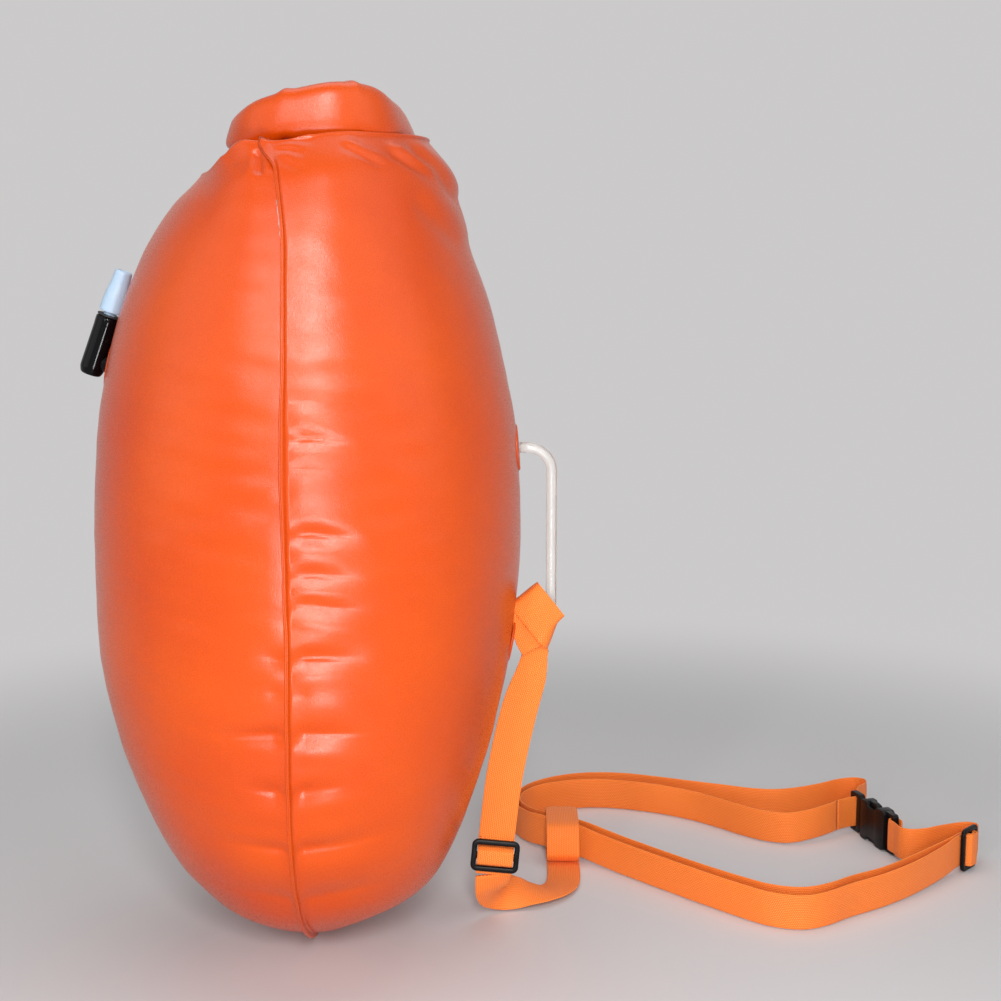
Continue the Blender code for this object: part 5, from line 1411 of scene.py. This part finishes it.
def make_tab(name, angle, bar, toward):
    """A short strap from the roll's end to one bar of the buckle and back on itself."""
    place, _, _, along = ring_frames(np.array([angle]))
    place = place + ROLL_SAG * (0, 0, 1)
    tail = np.append(along[0] * np.sign(angle), 0)
    sewn = [place[0] + tail * STRAP_THICKNESS * 0.5, place[0] + tail * TAB_WIDTH / 3]
    route = sewn + bar_wrap(ROLL_END, roll_axes, bar, toward, TAB_WIDTH / 3)
    return make_strap(name, route, UPRIGHT, width=TAB_WIDTH - 0.0006, thickness=TAB_THICKNESS, seed=61)[0]


open_angle = 180 - ROLL_OPEN_HALF_ANGLE
near_tab = make_tab("roll_tab_near", -open_angle, BUCKLE["bar"] * TAB_WIDTH / 2, 1)
far_tab = make_tab("roll_tab_far", open_angle, FEMALE_BAR * TAB_WIDTH, -1)
stand_for((near_tab, "roll_tab_near"), (far_tab, "roll_tab_far"))

# %% [markdown]
# ## The oral valve
# The elbow stands on a short leg and turns up. A pale mouthpiece sits in its riser on a
# spring: biting it down lifts the poppet off its seat and lets the air past. Each piece
# is a profile turned about the riser's axis, with moulded rounding at its corners.

# %% Valve sizes
ELBOW_STANDOFF, ELBOW_FOOT = 0.012, 0.0095
LEG_BORE = 0.007
RISER_RADIUS, RISER_BORE_RADIUS, RISER_TOP = 0.00825, 0.00475, 0.031
SEAL_BORE_RADIUS, SEAL_THICKNESS = 0.0046, 0.0012
TRAVEL, MOUTH_LENGTH, SKIRT = 0.0024, 0.028, 0.007
BASE_RADIUS, WAIST_RADIUS, TIP_RADIUS, WAY_RADIUS, SKIRT_RADIUS = 0.008, 0.00625, 0.0056, 0.0032, 0.0043
SPIDER, SEAT, SEAT_RADIUS = 0.0012, 0.002, 0.0028
POPPET_RADIUS, POPPET_THICKNESS, STEM_RADIUS = 0.0042, 0.0015, 0.0011
SPRING_HEIGHT, SPRING_WIRE, SPRING_RADIUS, SPRING_TURNS = 0.008, 0.0007, 0.00325, 4
RISER_TILT = math.radians(7.5)

share = (VALVE_HEIGHT - WELD_FLANGE) / BODY_HEIGHT
valve_origin = film_point(-1, share, 0.0)
valve_axes = axes_of(film_normal(-1, share, 0.0), (0, 0, 1))
lean, rise = math.sin(RISER_TILT), math.cos(RISER_TILT)
turning = np.array([valve_axes[0] * rise + valve_axes[2] * lean, valve_axes[1],
                    valve_axes[2] * rise - valve_axes[0] * lean])
riser_foot = valve_origin + valve_axes[0] * ELBOW_STANDOFF
sleeve = RISER_TOP + SEAL_THICKNESS + TRAVEL + 2 * CLEAR
skirt_end = sleeve - SKIRT - TRAVEL
spider_low = skirt_end - CLEAR - SPIDER
spider_top = spider_low + SPIDER
seat_top = spider_low - CLEAR - SPRING_HEIGHT
seat_low = seat_top - SEAT
print(f"mouthpiece stands {sleeve * 1000:.1f} mm up the riser, poppet seat at {seat_top * 1000:.1f} mm")

# %% Valve pieces
def on_riser(name, corners, rounding, steps, material, body, sides=64):
    """A piece turned about the riser's axis from a profile with rounded corners."""
    return turned(name, round_corners(corners, rounding, steps), riser_foot, turning, material, body, sides)


elbow = on_riser("valve_elbow_body", [
    (0.0002, -ELBOW_FOOT), (RISER_RADIUS * 0.8, -ELBOW_FOOT), (RISER_RADIUS, -ELBOW_FOOT * 0.55),
    (RISER_RADIUS * 0.985, RISER_TOP * 0.8), (RISER_RADIUS, RISER_TOP * 0.82), (RISER_RADIUS, RISER_TOP),
    (RISER_BORE_RADIUS, RISER_TOP), (RISER_BORE_RADIUS, seat_top), (SEAT_RADIUS, seat_top),
    (SEAT_RADIUS, seat_low), (RISER_BORE_RADIUS, seat_low), (RISER_BORE_RADIUS, 0.0), (0.0002, 0.0)],
    0.0016, 5, ELBOW_PLASTIC, "bag", 72)
leg_low, leg_high = -RISER_BORE_RADIUS, ELBOW_STANDOFF - 0.0002
leg_profile = round_corners([(LEG_BORE / 2, leg_low), (LEG_DIAMETER / 2, leg_low),
                             (LEG_DIAMETER / 2, leg_high), (LEG_BORE / 2, leg_high)], 0.0003, 3)
combine(elbow, turned("valve_leg", leg_profile * (1, -1) + (0, ELBOW_STANDOFF), valve_origin,
                      np.roll(valve_axes, -1, axis=0), ELBOW_PLASTIC, "bag", 48))
mouth = {at: sleeve + MOUTH_LENGTH * at for at in (0.03, 0.28, 0.44, 0.62, 0.8, 0.96, 1)}
mouthpiece = on_riser("valve_mouthpiece", [
    (WAY_RADIUS, skirt_end), (SKIRT_RADIUS, skirt_end), (SKIRT_RADIUS, sleeve - 3 * CLEAR),
    (BASE_RADIUS - 0.0002, sleeve - 3 * CLEAR), (BASE_RADIUS, mouth[0.03]),
    (BASE_RADIUS * 0.975, mouth[0.28]), (BASE_RADIUS * 0.93, mouth[0.44]),
    (WAIST_RADIUS * 1.04, mouth[0.62]), (WAIST_RADIUS * 0.98, mouth[0.8]),
    (TIP_RADIUS * 1.04, mouth[0.96]), (TIP_RADIUS * 0.92, mouth[1]), (WAY_RADIUS, mouth[1])],
    0.0011, 5, MOUTHPIECE_PLASTIC, "mouthpiece_body", 72)
seal_low, seal_high = RISER_TOP + CLEAR, RISER_TOP + CLEAR + SEAL_THICKNESS
seal = on_riser("mouthpiece_seal", [
    (SEAL_BORE_RADIUS, seal_low), (RISER_RADIUS - CLEAR, seal_low), (RISER_RADIUS - CLEAR, seal_high),
    (SEAL_BORE_RADIUS, seal_high)], 0.0004, 4, SEAL_RUBBER, "bag")
poppet_top = seat_low - CLEAR
poppet_low = poppet_top - POPPET_THICKNESS
poppet = on_riser("poppet", [
    (0.0001, poppet_low), (POPPET_RADIUS, poppet_low), (POPPET_RADIUS, poppet_top), (STEM_RADIUS, poppet_top),
    (STEM_RADIUS, spider_top), (0.0001, spider_top)], 0.0003, 3, ELBOW_PLASTIC, "mouthpiece_body", 32)
arm_ring = [(a * SKIRT_RADIUS, b * STEM_RADIUS) for a, b in ((-1, -1), (1, -1), (1, 1), (-1, 1))]
combine(poppet, moulded_plate("arm", arm_ring, [], spider_low, spider_top,
                              (riser_foot, turning, "mouthpiece_body"), material=ELBOW_PLASTIC))
bake(elbow)
bake(poppet)


def make_spring():
    """A helix of round wire between the seat and the poppet's arms."""
    turn = np.linspace(0, SPRING_TURNS * 2 * math.pi, 30 * SPRING_TURNS)[:, None]
    low, high = seat_top + SPRING_WIRE / 2 + CLEAR, spider_low - CLEAR - SPRING_WIRE / 2
    path = (riser_foot + SPRING_RADIUS * np.cos(turn) * turning[0] + SPRING_RADIUS * np.sin(turn) * turning[1]
            + (low + (high - low) * turn / turn[-1]) * turning[2])
    side, up = line_frames(path, np.broadcast_to(turning[2], path.shape))
    return carried("return_spring", path, side, up, circle(SPRING_WIRE / 2, 12), STEEL_WIRE, "bag", uv=False)


stand_for((elbow, "valve_elbow", "black_plastic"), (mouthpiece, "mouthpiece", "blue_plastic"),
          (seal, "valve_seal", "seal_rubber"), (poppet, "valve_poppet", "black_plastic"),
          (make_spring(), "valve_spring", "steel"))

# %% [markdown]
# ## The knot
# The strap's end goes round the rod and back over itself. On the real object it is the
# webbing itself, folded fat; here it is a band round the rod and a narrower one under it,
# and both slide with the knot's joint.

# %% Knot on the handle
def seen_route(points):
    """Route points (picture u, picture v, depth y) as points over the floor."""
    points = np.asarray(points, float)
    place = np.array([seen_at(p[:2], p[2]) for p in points])
    return np.stack([place[:, 0], points[:, 2], place[:, 1]], 1)


WRAP_ROUTE = seen_route([
    (539, 622, 0.0062), (529, 604, 0.0056), (525, 597, 0.0036), (523.5, 594, 0.0),
    (525, 596, -0.0072), (530, 602, -0.0098), (538, 612, -0.0104), (546, 622, -0.0102),
    (550.6, 628, -0.0092), (552.6, 630.8, -0.0052), (552.6, 630.8, 0.0004), (551, 628, 0.005),
    (545, 622, 0.0078), (537, 614, 0.0086),
])
WRAP_WIDTHS = [
    (0.6, 0, 0.8), (0.7, 0, 0.7), *[(0.77, 0, 0.64)] * 4, (0.76, 0, 0.65), (0.7, 0, 0.71), (0.46, 0, 0.89),
    *[(0.34, 0, 0.94)] * 2, (0.4, 0, 0.9), (0.6, 0, 0.8), (0.7, 0, 0.7),
]
UNDER_ROUTE = seen_route([
    (524, 604, -0.0074), (524, 616, -0.0074), (525.5, 628, -0.007), (529, 639, -0.0064),
    (534.5, 649, -0.006),
])
UNDER_WIDTHS = [(1, 0, 0), (1, 0, 0), (0.97, 0, 0.25), (0.9, 0, 0.42), (0.87, 0, 0.5)]
KNOTTED = {"body": "knot", "steps": 8, "wander": 0.0002}
knot, _ = make_strap("knot_wrap", WRAP_ROUTE, WRAP_WIDTHS, seed=62, **KNOTTED)
make_strap("knot_underlayer", UNDER_ROUTE, UNDER_WIDTHS, seed=63, width=STRAP_WIDTH * 0.74, **KNOTTED)
stand_for((knot, "tether_knot"))

# %% [markdown]
# ## The tether's two layers
# The doubled strap was made without a body, so its place is worked into its two meshes.

# %% Tether baked in place
for piece, line in ((tether_outer, tether_outer_line), (tether_inner, tether_inner_line)):
    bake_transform(piece)

# %% [markdown]
# ## Stage and light
# A pale floor that gives way to a background of the same tone, so that no edge or horizon
# shows and nothing stands in the way from any side. A tall soft lamp above the camera, a
# narrow one on its left and a low strip give the sheens beside the seam.

# %% Floor
BACKGROUND = (0.6, 0.588, 0.59, 1)
FLOOR_MIDDLE = (0.12, 0.1, 0.0)
FLOOR_CLEAR = (0.42, 0.95)
stage_material, stage_tree, stage_shader = new_material("pale_paper", (0.635, 0.63, 0.635), 0.8)


def background_rays(tree):
    """1 for camera, glossy and transmission rays, which are to see the background."""
    rays = node(tree, "LightPath").outputs
    seen = maths(tree, "MAXIMUM", rays["Is Camera Ray"], rays["Is Glossy Ray"])
    return maths(tree, "MAXIMUM", seen, rays["Is Transmission Ray"])


def mixed(tree, factor, first, second, output):
    """The first shader gives way to the second by the factor, on its way to the output."""
    mix = node(tree, "MixShader")
    for socket, source in zip(mix.inputs, (factor, first.outputs[0], second.outputs[0])):
        tree.links.new(source, socket)
    tree.links.new(mix.outputs[0], tree.nodes[output].inputs["Surface"])


def fade_floor(tree, shader):
    """Mixes the floor's paper with the plain background by the distance from its middle."""
    away = node(tree, "VectorMath")
    away.operation = "DISTANCE"
    feed(tree, away.inputs[0], node(tree, "TexCoord").outputs["Object"])
    feed(tree, away.inputs[1], framed(FLOOR_MIDDLE))
    share = node(tree, "MapRange", Value=away.outputs["Value"])
    share.interpolation_type = "SMOOTHSTEP"
    share.inputs["From Min"].default_value, share.inputs["From Max"].default_value = FLOOR_CLEAR
    factor = maths(tree, "MULTIPLY", share.outputs["Result"], background_rays(tree))
    mixed(tree, factor, shader, node(tree, "Emission", Color=BACKGROUND), "Material Output")


def make_stage(reach=5.0):
    """A flat sheet of paper under the object, wide enough to reach past every view."""
    side = np.linspace(-reach, reach, 3)
    grid = np.stack(np.broadcast_arrays(side[None, :], side[:, None], -0.0004), -1)
    mesh = bpy.data.meshes.new("floor_sheet")
    mesh.from_pydata(framed(grid).reshape(-1, 3).tolist(), [], grid_quads(3, 3).tolist())
    mesh.materials.append(stage_material)
    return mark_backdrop(add_object("floor_sheet", mesh))


fade_floor(stage_tree, stage_shader)
make_stage()

# %% Lamps and world
def soft_lamp(name, place, target, size, power):
    """A rectangular lamp that looks at its target; sizes in metres, power in watts."""
    data = bpy.data.lights.new(name, "AREA")
    data.shape = "RECTANGLE"
    data.size, data.size_y = size
    data.energy = power
    lamp = add_object(name, data)
    lamp.location = framed(place)
    lamp.rotation_euler = (Vector(target) - Vector(place)).to_track_quat("-Z", "Y").to_euler()


soft_lamp("camera_softbox", (0.24, -1.75, 0.95), (0.0, -0.12, 0.33), (0.17, 0.74), 21.0)
soft_lamp("left_softbox", (-0.52, -1.6, 0.85), (0.0, -0.05, 0.32), (0.13, 0.62), 5.5)
soft_lamp("low_strip", (0.1, -0.86, 0.12), (0.0, -0.14, 0.22), (0.08, 0.26), 2.8)
soft_lamp("left_fill", (-1.6, -0.9, 0.9), (0.0, -0.05, 0.32), (1.5, 1.5), 5.0)
soft_lamp("right_fill", (1.45, -0.95, 1.0), (0.1, 0.0, 0.28), (1.6, 1.6), 6.5)
soft_lamp("top_fill", (0.15, 0.25, 2.1), (0.15, 0.3, 0.0), (1.8, 1.4), 14)
world = bpy.data.worlds.new("pale_room")
world.use_nodes = True
room = world.node_tree
glow = room.nodes["Background"]
feed(room, glow.inputs["Color"], (0.9, 0.9, 0.92, 1))
feed(room, glow.inputs["Strength"], 0.17)
mixed(room, background_rays(room), glow, node(room, "Background", Color=BACKGROUND), "World Output")
bpy.context.scene.world = world
bpy.context.scene.view_settings.view_transform = "Standard"
